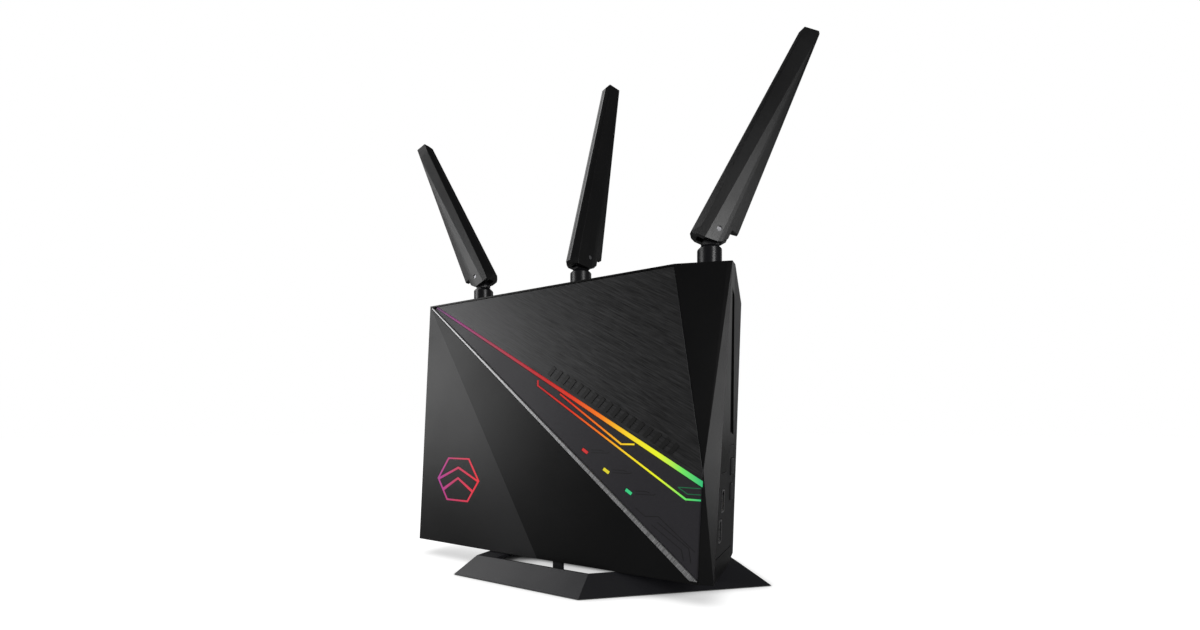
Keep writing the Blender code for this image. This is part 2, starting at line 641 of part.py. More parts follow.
def blade_points(side):
    """Corner points of one half of an aerial blade, as (u, v, w): u towards the lean, w along the blade."""
    inner = 0.15 * MM
    low, tip = -BLADE_LOW / MM, BLADE_LENGTH / MM
    base = [(-15.5, 2.5, low + 1.8), (-13.5, 4.0, low), (-10.5, 6.5, low), (-6.0, 6.5, low)]
    lobe = [(u / MM, v, w / MM) for (u, w), v in zip(arc((0, 0), LOBE_R, -95, 0, 4), (5.4, 4.8, 4.0, 3.2, 2.6))]
    fin = [(12.7, 1.6, 3.2), (-11.0, 6.5, low + 5), (-5.5, 6.5, low + 6)]
    end = [(-6.0, 2.2, tip - 5.0), (-4.2, 4.6, tip - 2.4), (5.2, 4.6, tip - 1.2), (6.5, 1.6, tip)]
    shoulder = [(5.2, 5.0, tip - 11.0), (-4.2, 5.0, tip - 10.0)]
    points = []
    for u, v, w in base + lobe + fin + end + shoulder:
        points.append((u * MM, side * v * MM, w * MM))
        points.append((u * MM, side * inner, w * MM))
    return points


def build_aerial(number, x, heading, lean):
    """Socket on the case, then sleeve and neck that swivel, then the blade that tilts on its pin."""
    base = Vector((x, AERIAL_Y, 0))
    socket_base = CASE_LIFT + 163 * MM
    socket = [(0, SLEEVE_TOP - 5 * MM), (STUB_R, SLEEVE_TOP - 5 * MM), (STUB_R, SLEEVE_BASE - 1 * MM)]
    socket += [(SOCKET_R, SLEEVE_BASE - 1 * MM), (SOCKET_R, socket_base), (0, socket_base)]
    turned(f"aerial_socket_{number}", socket, Matrix.Translation(base), router, FINISHES["brass"])

    swivel = bpy.data.objects.new(f"aerial_{number}_swivel", None)
    router.objects.link(swivel)
    swivel.location = base
    swivel.rotation_euler = (0, 0, math.radians(heading))
    bore = STUB_R + 0.3 * MM
    sleeve = [(0, SLEEVE_TOP), (5.3 * MM, SLEEVE_TOP), (SLEEVE_R, SLEEVE_TOP - 2.4 * MM), (SLEEVE_R, SLEEVE_BASE)]
    sleeve += [(bore, SLEEVE_BASE), (bore, SLEEVE_TOP - 4 * MM), (0, SLEEVE_TOP - 4 * MM)]
    nut = turned(f"aerial_sleeve_{number}", sleeve, Matrix(), router, FINISHES["matt_black"])
    nut.parent = swivel

    tilt = bpy.data.objects.new(f"aerial_{number}_tilt", None)
    router.objects.link(tilt)
    tilt.parent = swivel
    pin_height = SLEEVE_TOP + PIN_RISE
    tilt.location = (PIN_OFFSET, 0, pin_height)
    tilt.rotation_euler = (0, math.radians(lean), 0)

    # The neck's outline lies in the plane of tilt: local x is u, local y is up, local z is -v
    upright = Matrix.Rotation(math.pi / 2, 4, "X")
    foot = -PIN_RISE + GAP
    outline = arc((0, 0), TONGUE_R, -15, 165, 14)
    outline += [(-10 * MM, -7.6 * MM), (-10 * MM, foot), (0.2 * MM, foot)]
    hole = arc((0, 0), PIN_R + 0.1 * MM, 0, 345, 23)
    neck = plate(f"aerial_neck_{number}", [outline, hole], -TONGUE_HALF, TONGUE_HALF, upright, router,
                 FINISHES["matt_black"])
    neck.parent = swivel
    neck.location = (PIN_OFFSET, 0, pin_height)

    slot_shape = arc((0, 0), TONGUE_R + 0.5 * MM, 40, 165, 10)
    slot_shape += [(-10.5 * MM, -8 * MM), (-10.5 * MM, -20 * MM), (25 * MM, -20 * MM), (25 * MM, 2.3 * MM)]
    slot_shape.append((8 * MM, 2.3 * MM))
    slot = as_cutter(plate(f"blade_slot_{number}", [slot_shape], -SLOT_HALF, SLOT_HALF, upright, cutters))
    bore = as_cutter(rod(f"blade_bore_{number}", PIN_R + 0.1 * MM, (0, -9 * MM, 0), (0, 9 * MM, 0), cutters, None, 24))
    notch_low, notch_high = (8 * MM, -9 * MM, -20 * MM), (25 * MM, 9 * MM, 3.2 * MM)
    notch = as_cutter(box(f"blade_notch_{number}", notch_low, notch_high, cutters))
    halves = [hull(f"aerial_cover_{word}_{number}", blade_points(side), router, FINISHES["matt_black"])
              for word, side in (("a", -1), ("b", 1))]
    pin = rod(f"aerial_pin_{number}", PIN_R, (0, -4.7 * MM, 0), (0, 4.7 * MM, 0), router, FINISHES["metal"], 24)
    for half in halves:
        cut(half, slot, bore, notch)
    for piece in (*halves, pin, slot, bore, notch):
        piece.parent = tilt


def build_stand():
    """The stand: a low plinth with a sloping front, two windows, rubber pads and the screws into the case."""
    foot = [(-52.5, -25), (46, -25), (140.5, 54), (104, 104), (-52.5, 104)]
    crown = [(-44.9, -11), (44.6, -11), (121, 56), (95, 92), (-44.9, 92)]
    points = [(x * MM, y * MM, STAND_UNDER) for x, y in foot]
    points += [(x * MM, y * MM, STAND_TOP) for x, y in crown]
    stand = hull("stand_base", points, router, FINISHES["satin_black"])
    window = [(x * MM, y * MM) for x, y in ((-29, -9.6), (44, -9.6), (80, 22), (80, 36), (-29, 36))]
    cut(stand, as_cutter(plate("stand_window", [window], -5 * MM, 30 * MM, Matrix(), cutters)))
    # The left arm is hollow underneath, inside its sloping outer wall
    room = [(x * MM, y * MM, z * MM) for x, z in ((-49.3, -1), (-20, -1), (-20, 8.8), (-43.6, 8.8)) for y in (-6, 33)]
    cut(stand, as_cutter(hull("arm_room", room, cutters)))
    # A slim post behind the front edge reaches up to the case
    left, right, back = POST_LEFT, POST_LEFT + POST_WIDTH, 4.5 * MM
    sill = box("post_sill", (left, -10 * MM, STAND_UNDER), (right, back, 4 * MM), cutters)
    post = box("post", (left, back - 3 * MM, STAND_UNDER), (right, back, CASE_LIFT - GAP), cutters)
    cut(stand, as_cutter(sill), as_cutter(post), operation="UNION")
    x, y = FRONT_PAD_HALF
    low, high = Vector((-x, PAD_Y - y, 0)), Vector((x, PAD_Y + y, PAD_TOP))
    box("stand_pad_1", low, high, router, FINISHES["rubber"])
    room = Vector((GAP, GAP, GAP))
    below = Vector((0, 0, -3 * MM))
    cut(stand, as_cutter(box("pad_seat_1", low - room + below, high + room, cutters)))
    for i, (x, y) in enumerate(((112, 56), (-40, 92), (88, 92))):
        start = (x * MM, y * MM, 0)
        name = f"stand_pad_{i + 2}"
        rod(name, 5 * MM, start, (x * MM, y * MM, PAD_TOP), router, FINISHES["rubber"], 28)
        seat_top = (x * MM, y * MM, PAD_TOP + GAP)
        cut(stand, as_cutter(rod(name + "_seat", 5.3 * MM, (x * MM, y * MM, -3 * MM), seat_top, cutters, None, 28)))
    # The saddle fills the space between the plinth and the underside of the case, which rises towards the back
    crown = [(y, CASE_LIFT + rise - 0.2 * MM) for y, rise in ((37 * MM, 2.7 * MM), (47 * MM, 5.3 * MM))]
    foot = [(y, STAND_TOP + GAP / 2) for y in (37 * MM, 62 * MM)]
    saddle_points = [(x, y, z) for x in (-41 * MM, 86 * MM) for y, z in crown + foot]
    saddle = hull("stand_saddle", saddle_points, router, FINISHES["matt_black"])
    cut(saddle, as_cutter(box("saddle_room", (-22 * MM, 0, 0), (76 * MM, 46.5 * MM, 60 * MM), cutters)))
    for i, x in enumerate((-32 * MM, 81 * MM)):
        y = 41 * MM
        profile = [(0, 9 * MM), (1.2 * MM, 8.4 * MM), (1.2 * MM, 1.6 * MM), (2.8 * MM, 1.6 * MM), (2.8 * MM, 0), (0, 0)]
        place = Matrix.Translation((x, y, 3 * MM))
        turned(f"stand_screw_{i + 1}", profile, place, router, FINISHES["metal"], 20)
        head = as_cutter(rod(f"stand_head_{i + 1}", 3.1 * MM, (x, y, -3 * MM), (x, y, 5 * MM), cutters))
        shank = as_cutter(rod(f"stand_shank_{i + 1}", 1.5 * MM, (x, y, 4 * MM), (x, y, 24 * MM), cutters))
        cut(stand, head, shank)
        cut(saddle, shank)


def settle():
    """Move the object so that the middle of the front pad is at the origin."""
    for obj in bpy.context.scene.objects:
        if not obj.parent:
            obj.location.y -= PAD_Y


def main():
    """Build every piece."""
    front, rear = build_case()
    build_fascia(front)
    build_badge(front)
    build_side(front)
    build_rear(rear)
    build_inside()
    for i, (x, heading, lean) in enumerate(AERIALS):
        build_aerial(i + 1, x, heading, lean)
        reach = CASE_LIFT + CASE_HEIGHT + 20 * MM
        hole = rod(f"socket_hole_{i + 1}", SOCKET_R + GAP, (x, AERIAL_Y, CASE_LIFT + 150 * MM), (x, AERIAL_Y, reach),
                   cutters)
        cut(rear, as_cutter(hole))
    build_stand()
    settle()
    bpy.context.view_layer.update()


main()
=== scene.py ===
"""Finishes, fine detail, light and camera for an upright wireless router with a lit front and three aerials.

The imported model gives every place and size. This script dresses its pieces, softens the edges of those that
show, and adds the detail that is too fine for the solids.
"""

import json
import logging
import math
from dataclasses import dataclass, field
from enum import Enum

import bmesh
import bpy
from mathutils import Matrix, Vector


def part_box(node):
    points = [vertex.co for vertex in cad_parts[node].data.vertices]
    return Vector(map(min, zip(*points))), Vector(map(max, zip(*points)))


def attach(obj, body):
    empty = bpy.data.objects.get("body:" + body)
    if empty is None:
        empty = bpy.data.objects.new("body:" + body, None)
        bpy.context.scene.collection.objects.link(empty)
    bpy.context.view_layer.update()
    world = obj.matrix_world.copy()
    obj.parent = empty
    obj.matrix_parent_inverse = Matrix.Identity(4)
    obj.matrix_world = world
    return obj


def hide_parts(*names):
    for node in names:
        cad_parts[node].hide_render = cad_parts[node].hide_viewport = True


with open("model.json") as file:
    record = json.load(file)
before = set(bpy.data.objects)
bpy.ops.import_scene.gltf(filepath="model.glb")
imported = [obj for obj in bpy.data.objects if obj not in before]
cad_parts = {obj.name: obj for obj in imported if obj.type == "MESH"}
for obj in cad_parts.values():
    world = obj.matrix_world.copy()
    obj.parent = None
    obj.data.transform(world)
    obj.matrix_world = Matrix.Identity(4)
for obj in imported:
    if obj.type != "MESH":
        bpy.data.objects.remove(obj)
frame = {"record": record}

MM = 0.001
LOG = logging.getLogger("router")

Point = tuple[float, float]
Triple = tuple[float, float, float]
Colour = tuple[float, float, float]

WELD_DISTANCE = 0.002 * MM
FLAT_ANGLE = math.radians(0.6)  # shallower edges are dissolved before a piece is rounded
ROUNDED_ANGLE = math.radians(18)  # sharper edges are rounded
MITRE_LIMIT = 0.4  # a ribbon's corner grows no wider than its width over this

NOISE_RANGE: Point = (0.3, 0.7)  # where most of a noise's values lie
BUMP_STRENGTH = 0.6
MARKS_SCALE = 22.0  # handling marks in a metre
MARKS_DETAIL = 5.0


class Glow(Enum):
    """Which sweep of colours a lit piece shows."""

    SWEEP = "sweep"
    RED = "red"
    YELLOW = "yellow"
    GREEN = "green"


SWEEP_STOPS: tuple[tuple[float, Colour], ...] = (
    (0.02, (0.10, 0.02, 0.10)),
    (0.12, (0.24, 0.02, 0.15)),
    (0.25, (0.30, 0.02, 0.06)),
    (0.50, (0.48, 0.012, 0.012)),
    (0.60, (0.68, 0.03, 0.01)),
    (0.70, (0.90, 0.19, 0.01)),
    (0.79, (0.94, 0.66, 0.02)),
    (0.88, (0.80, 0.90, 0.02)),
    (0.95, (0.16, 0.78, 0.12)),
    (1.00, (0.04, 0.52, 0.18)),
)


class NodeSheet:
    """A material's node tree, with short calls for adding and joining nodes."""

    def __init__(self, name: str) -> None:
        """Start a material.

        Args:
            name: The material's name.
        """
        self.material = bpy.data.materials.new(name)
        self.material.use_nodes = True
        self.tree = self.material.node_tree
        self.shader = self.tree.nodes["Principled BSDF"]
        self.place = self.add("ShaderNodeTexCoord").outputs["Object"]

    def add(self, kind: str, **settings: object) -> bpy.types.Node:
        """Add a node.

        Args:
            kind: Blender's name for the node type.
            **settings: Attributes to set on it.

        Returns:
            The new node.
        """
        node = self.tree.nodes.new(kind)
        for key, value in settings.items():
            setattr(node, key, value)
        return node

    def join(self, source: bpy.types.NodeSocket, target: bpy.types.NodeSocket) -> None:
        """Link an output to an input."""
        self.tree.links.new(source, target)

    def math(self, kind: str, first: object, second: object = 0.0) -> bpy.types.NodeSocket:
        """Work out one number from two.

        Args:
            kind: The operation.
            first: A socket or a number.
            second: A socket or a number.

        Returns:
            The result's socket.
        """
        node = self.add("ShaderNodeMath", operation=kind)
        for value, socket in ((first, node.inputs[0]), (second, node.inputs[1])):
            if isinstance(value, (int, float)):
                socket.default_value = value
            else:
                self.join(value, socket)
        return node.outputs[0]

    def stretch(self, scale: Triple, turn: float = 0.0) -> bpy.types.NodeSocket:
        """Object coordinates turned about Y, then scaled.

        Args:
            scale: Factor on each axis after the turn.
            turn: Turn about Y in radians.

        Returns:
            The socket of the new coordinates.
        """
        spin = self.add("ShaderNodeVectorRotate", rotation_type="Y_AXIS")
        spin.inputs["Angle"].default_value = turn
        self.join(self.place, spin.inputs["Vector"])
        size = self.add("ShaderNodeMapping")
        size.inputs["Scale"].default_value = scale
        self.join(spin.outputs[0], size.inputs["Vector"])
        return size.outputs[0]

    def noise(
        self, coords: bpy.types.NodeSocket, scale: float, detail: float = 3.0
    ) -> bpy.types.NodeSocket:
        """Noise between 0 and 1.

        Args:
            coords: Where it is read.
            scale: Cells in a metre.
            detail: Octaves.

        Returns:
            The noise value's socket.
        """
        node = self.add("ShaderNodeTexNoise")
        node.inputs["Scale"].default_value = scale
        node.inputs["Detail"].default_value = detail
        self.join(coords, node.inputs["Vector"])
        return node.outputs["Fac"]

    def between(self, value: bpy.types.NodeSocket, low: float, high: float) -> bpy.types.NodeSocket:
        """Map noise, which keeps near its middle, onto a range.

        Args:
            value: The noise.
            low: Result for a low value.
            high: Result for a high value.

        Returns:
            The mapped value's socket.
        """
        node = self.add("ShaderNodeMapRange")
        self.join(value, node.inputs["Value"])
        node.inputs["From Min"].default_value = NOISE_RANGE[0]
        node.inputs["From Max"].default_value = NOISE_RANGE[1]
        node.inputs["To Min"].default_value = low
        node.inputs["To Max"].default_value = high
        return node.outputs["Result"]

    def bump(self, height: bpy.types.NodeSocket, depth: float) -> None:
        """Raise the surface by a height value.

        Args:
            height: The value, 0 to 1.
            depth: Full depth in metres.
        """
        node = self.add("ShaderNodeBump")
        node.inputs["Strength"].default_value = BUMP_STRENGTH
        node.inputs["Distance"].default_value = depth
        self.join(height, node.inputs["Height"])
        self.join(node.outputs["Normal"], self.shader.inputs["Normal"])

    def tint(
        self, value: bpy.types.NodeSocket, dark: Colour, light: Colour
    ) -> bpy.types.NodeSocket:
        """Blend two colours by a value.

        Args:
            value: Share of the lighter colour.
            dark: Colour at 0.
            light: Colour at 1.

        Returns:
            The colour's socket.
        """
        node = self.add("ShaderNodeMix", data_type="RGBA")
        node.inputs["A"].default_value = (*dark, 1.0)
        node.inputs["B"].default_value = (*light, 1.0)
        self.join(value, node.inputs["Factor"])
        return node.outputs["Result"]

    def sweep(self, start: float, end: float) -> bpy.types.NodeSocket:
        """Colour that runs from magenta to green along X.

        Args:
            start: X of the first colour.
            end: X of the last colour.

        Returns:
            The colour's socket.
        """
        parts = self.add("ShaderNodeSeparateXYZ")
        self.join(self.place, parts.inputs[0])
        spread = self.add("ShaderNodeMapRange")
        self.join(parts.outputs["X"], spread.inputs["Value"])
        spread.inputs["From Min"].default_value = start
        spread.inputs["From Max"].default_value = end
        ramp = self.add("ShaderNodeValToRGB")
        stops = ramp.color_ramp.elements
        while len(stops) < len(SWEEP_STOPS):
            stops.new(0.5)
        for stop, (share, colour) in zip(stops, SWEEP_STOPS):
            stop.position = share
            stop.color = (*colour, 1.0)
        self.join(spread.outputs["Result"], ramp.inputs["Fac"])
        return ramp.outputs["Color"]


def scaled(colour: Colour, factor: float) -> Colour:
    """A colour times a factor."""
    return tuple(channel * factor for channel in colour)


@dataclass(frozen=True)
class MouldedPlastic:
    """Injection-moulded plastic with a fine sparked grain and faint handling marks.

    Attributes:
        name: Material name.
        colour: Base colour.
        roughness: Middle roughness.
        grain: Grain cells in a metre.
        depth: Grain depth in metres.
        specular: Strength of its shine.
        shades: Darkest and lightest of the grain, as factors of the colour.
        wear: How far the marks lower and raise the roughness.
    """

    name: str
    colour: Colour
    roughness: float = 0.42
    grain: float = 2600.0
    depth: float = 0.04 * MM
    specular: float = 0.5
    shades: Point = (0.86, 1.12)
    wear: Point = (0.035, 0.045)

    def make(self) -> bpy.types.Material:
        """Build the material.

        Returns:
            The material.
        """
        sheet = NodeSheet(self.name)
        fine = sheet.noise(sheet.place, self.grain)
        marks = sheet.noise(sheet.place, MARKS_SCALE, MARKS_DETAIL)
        dark, light = (scaled(self.colour, factor) for factor in self.shades)
        colour = sheet.tint(sheet.between(fine, 0.0, 1.0), dark, light)
        sheet.join(colour, sheet.shader.inputs["Base Color"])
        rough = sheet.between(marks, self.roughness - self.wear[0], self.roughness + self.wear[1])
        sheet.join(rough, sheet.shader.inputs["Roughness"])
        sheet.shader.inputs["Specular IOR Level"].default_value = self.specular
        sheet.bump(fine, self.depth)
        return sheet.material


@dataclass(frozen=True)
class PaintedHighlightPlastic:
    """Moulded plastic on the faceted cover, with a painted highlight: paler beside the long crease than away
    from it, standing in for the light that facet catches.

    Attributes:
        name: Material name.
        dark: Colour of the facet right of the crease.
        pale: Colour of the painted highlight at the crease, on its left.
        foot: Crease's lower end, as (x, z).
        head: Crease's upper end, as (x, z).
        fade: Distance over which the painted highlight falls off.
        remains: Share of the painted highlight left beyond that distance.
        grain: Grain cells in a metre.
        unevenness: Least and greatest share of the painted highlight within the grain.
        depth: Grain depth in metres.
        roughness: Middle roughness.
        wear: How far the marks lower and raise the roughness.
        specular: Strength of its shine.
    """

    name: str
    dark: Colour
    pale: Colour
    foot: Point
    head: Point
    fade: float = 75 * MM
    remains: float = 0.12
    grain: float = 2600.0
    unevenness: Point = (0.9, 1.1)
    depth: float = 0.03 * MM
    roughness: float = 0.36
    wear: Point = (0.03, 0.04)
    specular: float = 0.24

    def make(self) -> bpy.types.Material:
        """Build the material.

        Returns:
            The material.
        """
        sheet = NodeSheet(self.name)
        fine = sheet.noise(sheet.place, self.grain)
        # Painted highlight: the grain's colour is pulled towards the pale colour beside the crease.
        grain = sheet.math("MULTIPLY", sheet.between(fine, *self.unevenness), self.painted_highlight_share(sheet))
        sheet.join(sheet.tint(grain, self.dark, self.pale), sheet.shader.inputs["Base Color"])
        marks = sheet.noise(sheet.place, MARKS_SCALE, MARKS_DETAIL)
        rough = sheet.between(marks, self.roughness - self.wear[0], self.roughness + self.wear[1])
        sheet.join(rough, sheet.shader.inputs["Roughness"])
        sheet.shader.inputs["Specular IOR Level"].default_value = self.specular
        sheet.bump(fine, self.depth)
        return sheet.material

    def painted_highlight_share(self, sheet: NodeSheet) -> bpy.types.NodeSocket:
        """Share of the painted highlight: none right of the crease, and falling with distance on its left.

        Args:
            sheet: The material's nodes.

        Returns:
            The share's socket.
        """
        parts = sheet.add("ShaderNodeSeparateXYZ")
        sheet.join(sheet.place, parts.inputs[0])
        along = (Vector(self.head) - Vector(self.foot)).normalized()
        left_x, left_z = -along.y, along.x
        offset = self.foot[0] * left_x + self.foot[1] * left_z
        x_part = sheet.math("MULTIPLY", parts.outputs["X"], left_x)
        z_part = sheet.math("MULTIPLY", parts.outputs["Z"], left_z)
        gap = sheet.math("SUBTRACT", sheet.math("ADD", x_part, z_part), offset)
        left_side = sheet.math("GREATER_THAN", gap, 0.0)
        fall = sheet.add("ShaderNodeMapRange", interpolation_type="SMOOTHSTEP")
        sheet.join(gap, fall.inputs["Value"])
        fall.inputs["From Max"].default_value = self.fade
        fall.inputs["To Min"].default_value = 1.0
        fall.inputs["To Max"].default_value = self.remains
        return sheet.math("MULTIPLY", left_side, fall.outputs["Result"])


@dataclass(frozen=True)
class Brushed:
    """A dark panel brushed along one direction.

    Attributes:
        name: Material name.
        colour: Base colour.
        turn: Direction of the brushing, as a turn about Y from the X axis.
        roughness: Middle roughness.
        metallic: Share of metal in its shine.
        long_strokes: Scale of the long brush strokes along, across and into the panel.
        short_strokes: The same for the short strokes.
        shades: Darkest and lightest stroke, as factors of the colour.
        unevenness: How far the strokes lower and raise the roughness.
        depth: Depth of the strokes in metres.
    """

    name: str
    colour: Colour
    turn: float
    roughness: float = 0.4
    metallic: float = 0.5
    long_strokes: Triple = (14.0, 1500.0, 1500.0)
    short_strokes: Triple = (70.0, 3200.0, 3200.0)
    shades: Point = (0.45, 1.65)
    unevenness: float = 0.12
    depth: float = 0.06 * MM

    def make(self) -> bpy.types.Material:
        """Build the material.

        Returns:
            The material.
        """
        sheet = NodeSheet(self.name)
        long_lines = sheet.noise(sheet.stretch(self.long_strokes, self.turn), 1.0, 3.0)
        short_lines = sheet.noise(sheet.stretch(self.short_strokes, self.turn), 1.0, 2.0)
        half_long = sheet.math("MULTIPLY", long_lines, 0.5)
        half_short = sheet.math("MULTIPLY", short_lines, 0.5)
        lines = sheet.math("ADD", half_long, half_short)
        dark, light = (scaled(self.colour, factor) for factor in self.shades)
        sheet.join(sheet.tint(sheet.between(lines, 0.0, 1.0), dark, light), sheet.shader.inputs["Base Color"])
        rough = sheet.between(lines, self.roughness - self.unevenness, self.roughness + self.unevenness)
        sheet.join(rough, sheet.shader.inputs["Roughness"])
        sheet.shader.inputs["Metallic"].default_value = self.metallic
        sheet.bump(lines, self.depth)
        return sheet.material


LAMP_COLOURS: dict[Glow, Colour] = {
    Glow.RED: (0.6, 0.03, 0.03),
    Glow.YELLOW: (0.8, 0.7, 0.03),
    Glow.GREEN: (0.04, 0.6, 0.22),
}


@dataclass(frozen=True)
class Lit:
    """A translucent plastic window with a lamp behind it.

    Attributes:
        name: Material name.
        glow: Which colours it shows.
        strength: How brightly it shines.
        span: X of the first and last colour of a sweep.
        mottle: Cells in a metre of the plastic's cloudiness.
        dim: Light of the cloudiest spots of a lamp, as a factor.
        clear: Unlit colour where the plastic is clear.
        cloudy: Unlit colour where it is cloudy.
        roughness: Least and greatest roughness.
        specular: Strength of its shine.
    """

    name: str
    glow: Glow
    strength: float = 1.0
    span: Point = (-110 * MM, 110 * MM)
    mottle: float = 320.0
    dim: float = 0.85
    clear: Colour = (0.01, 0.01, 0.01)
    cloudy: Colour = (0.03, 0.03, 0.03)
    roughness: Point = (0.3, 0.42)
    specular: float = 0.25

    def make(self) -> bpy.types.Material:
        """Build the material.

        Returns:
            The material.
        """
        sheet = NodeSheet(self.name)
        shader = sheet.shader
        mottle = sheet.noise(sheet.place, self.mottle)
        if self.glow is Glow.SWEEP:
            colour = sheet.sweep(*self.span)
        else:
            lamp = LAMP_COLOURS[self.glow]
            colour = sheet.tint(sheet.between(mottle, 0.0, 1.0), scaled(lamp, self.dim), lamp)
        sheet.join(colour, shader.inputs["Emission Color"])
        sheet.join(sheet.tint(mottle, self.clear, self.cloudy), shader.inputs["Base Color"])
        shader.inputs["Emission Strength"].default_value = self.strength
        sheet.join(sheet.between(mottle, *self.roughness), shader.inputs["Roughness"])
        shader.inputs["Specular IOR Level"].default_value = self.specular
        return sheet.material


@dataclass(frozen=True)
class Metal:
    """Plated, turned or extruded metal.

    Attributes:
        name: Material name.
        colour: Base colour.
        roughness: Middle roughness.
        lines: Scale of the tool marks along X, Y and Z.
        shade: Colour in the marks, as a factor.
        unevenness: How far the marks lower and raise the roughness.
        depth: Depth of the marks in metres.
    """

    name: str
    colour: Colour
    roughness: float = 0.3
    lines: Triple = (300.0, 300.0, 4000.0)
    shade: float = 0.8
    unevenness: Point = (0.08, 0.1)
    depth: float = 0.02 * MM

    def make(self) -> bpy.types.Material:
        """Build the material.

        Returns:
            The material.
        """
        sheet = NodeSheet(self.name)
        marks = sheet.noise(sheet.stretch(self.lines), 1.0)
        colour = sheet.tint(sheet.between(marks, 0.0, 1.0), scaled(self.colour, self.shade), self.colour)
        sheet.join(colour, sheet.shader.inputs["Base Color"])
        low, high = self.roughness - self.unevenness[0], self.roughness + self.unevenness[1]
        sheet.join(sheet.between(marks, low, high), sheet.shader.inputs["Roughness"])
        sheet.shader.inputs["Metallic"].default_value = 1.0
        sheet.bump(marks, self.depth)
        return sheet.material


@dataclass(frozen=True)
class Board:
    """A circuit board: green mask over a grid of tracks.

    Attributes:
        name: Material name.
        pitch: Scale of the grid.
        track: Width of a track, as a share of the grid.
        mask: Colour of the mask.
        mask_alternate: Colour of every other patch of mask.
        copper: Colour of the mask over a track.
        grain: Cells in a metre of the mask's unevenness.
        roughness: Least and greatest roughness.
    """

    name: str
    pitch: float = 160.0
    track: float = 0.03
    mask: Colour = (0.01, 0.07, 0.035)
    mask_alternate: Colour = (0.012, 0.09, 0.045)
    copper: Colour = (0.03, 0.16, 0.08)
    grain: float = 400.0
    roughness: Point = (0.25, 0.4)

    def make(self) -> bpy.types.Material:
        """Build the material.

        Returns:
            The material.
        """
        sheet = NodeSheet(self.name)
        tracks = sheet.add("ShaderNodeTexBrick")
        tracks.inputs["Scale"].default_value = self.pitch
        tracks.inputs["Mortar Size"].default_value = self.track
        tracks.inputs["Color1"].default_value = (*self.mask, 1.0)
        tracks.inputs["Color2"].default_value = (*self.mask_alternate, 1.0)
        tracks.inputs["Mortar"].default_value = (*self.copper, 1.0)
        sheet.join(sheet.stretch((1.0, 1.0, 1.0)), tracks.inputs["Vector"])
        sheet.join(tracks.outputs["Color"], sheet.shader.inputs["Base Color"])
        uneven = sheet.noise(sheet.place, self.grain)
        sheet.join(sheet.between(uneven, *self.roughness), sheet.shader.inputs["Roughness"])
        return sheet.material


def add_mesh(name: str, bm: bmesh.types.BMesh) -> bpy.types.Object:
    """Turn a bmesh into an object in the scene.

    Args:
        name: The object's name.
        bm: The mesh, which is freed.

    Returns:
        The object.
    """
    mesh = bpy.data.meshes.new(name)
    bmesh.ops.recalc_face_normals(bm, faces=bm.faces[:])
    bm.to_mesh(mesh)
    bm.free()
    made = bpy.data.objects.new(name, mesh)
    bpy.context.scene.collection.objects.link(made)
    return made


def dress(node: str, material: bpy.types.Material) -> None:
    """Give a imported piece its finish."""
    piece = bpy.data.objects[node]
    if not piece.material_slots:
        piece.data.materials.append(material)
    for slot in piece.material_slots:
        slot.material = material


def body_holding(node: str) -> str:
    """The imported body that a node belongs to."""
    bodies = frame["record"]["behaviour"]["bodies"]
    return next(body for body, members in bodies.items() if node in members)


class Shading(Enum):
    """How a softened piece shades between its roundings."""

    FACETED = math.radians(0.5)
    TURNED = math.radians(35)


def soften(
    node: str,
    width: float,
    material: bpy.types.Material,
    shading: Shading = Shading.FACETED,
    segments: int = 2,
) -> bpy.types.Object:
    """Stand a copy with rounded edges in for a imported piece.

    Args:
        node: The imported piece.
        width: Width of the rounding in metres.
        material: Its finish.
        shading: Whether its shallow edges stay crisp.
        segments: Steps across the rounding.

    Returns:
        The piece that stands in.
    """
    bm = bmesh.new()
    bm.from_mesh(bpy.data.objects[node].data)
    bmesh.ops.remove_doubles(bm, verts=bm.verts[:], dist=WELD_DISTANCE)
    bmesh.ops.dissolve_limit(bm, angle_limit=FLAT_ANGLE, verts=bm.verts[:], edges=bm.edges[:])
    piece = add_mesh(node + "_soft", bm)
    piece.data.materials.append(material)
    bevel = piece.modifiers.new("Rounding", "BEVEL")
    bevel.width = width
    bevel.segments = segments
    bevel.limit_method = "ANGLE"
    bevel.angle_limit = ROUNDED_ANGLE
    bevel.use_clamp_overlap = True
    bevel.harden_normals = True
    for face in piece.data.polygons:
        face.use_smooth = True
    piece.data.set_sharp_from_angle(angle=shading.value)
    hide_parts(node)
    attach(piece, body_holding(node))
    return piece


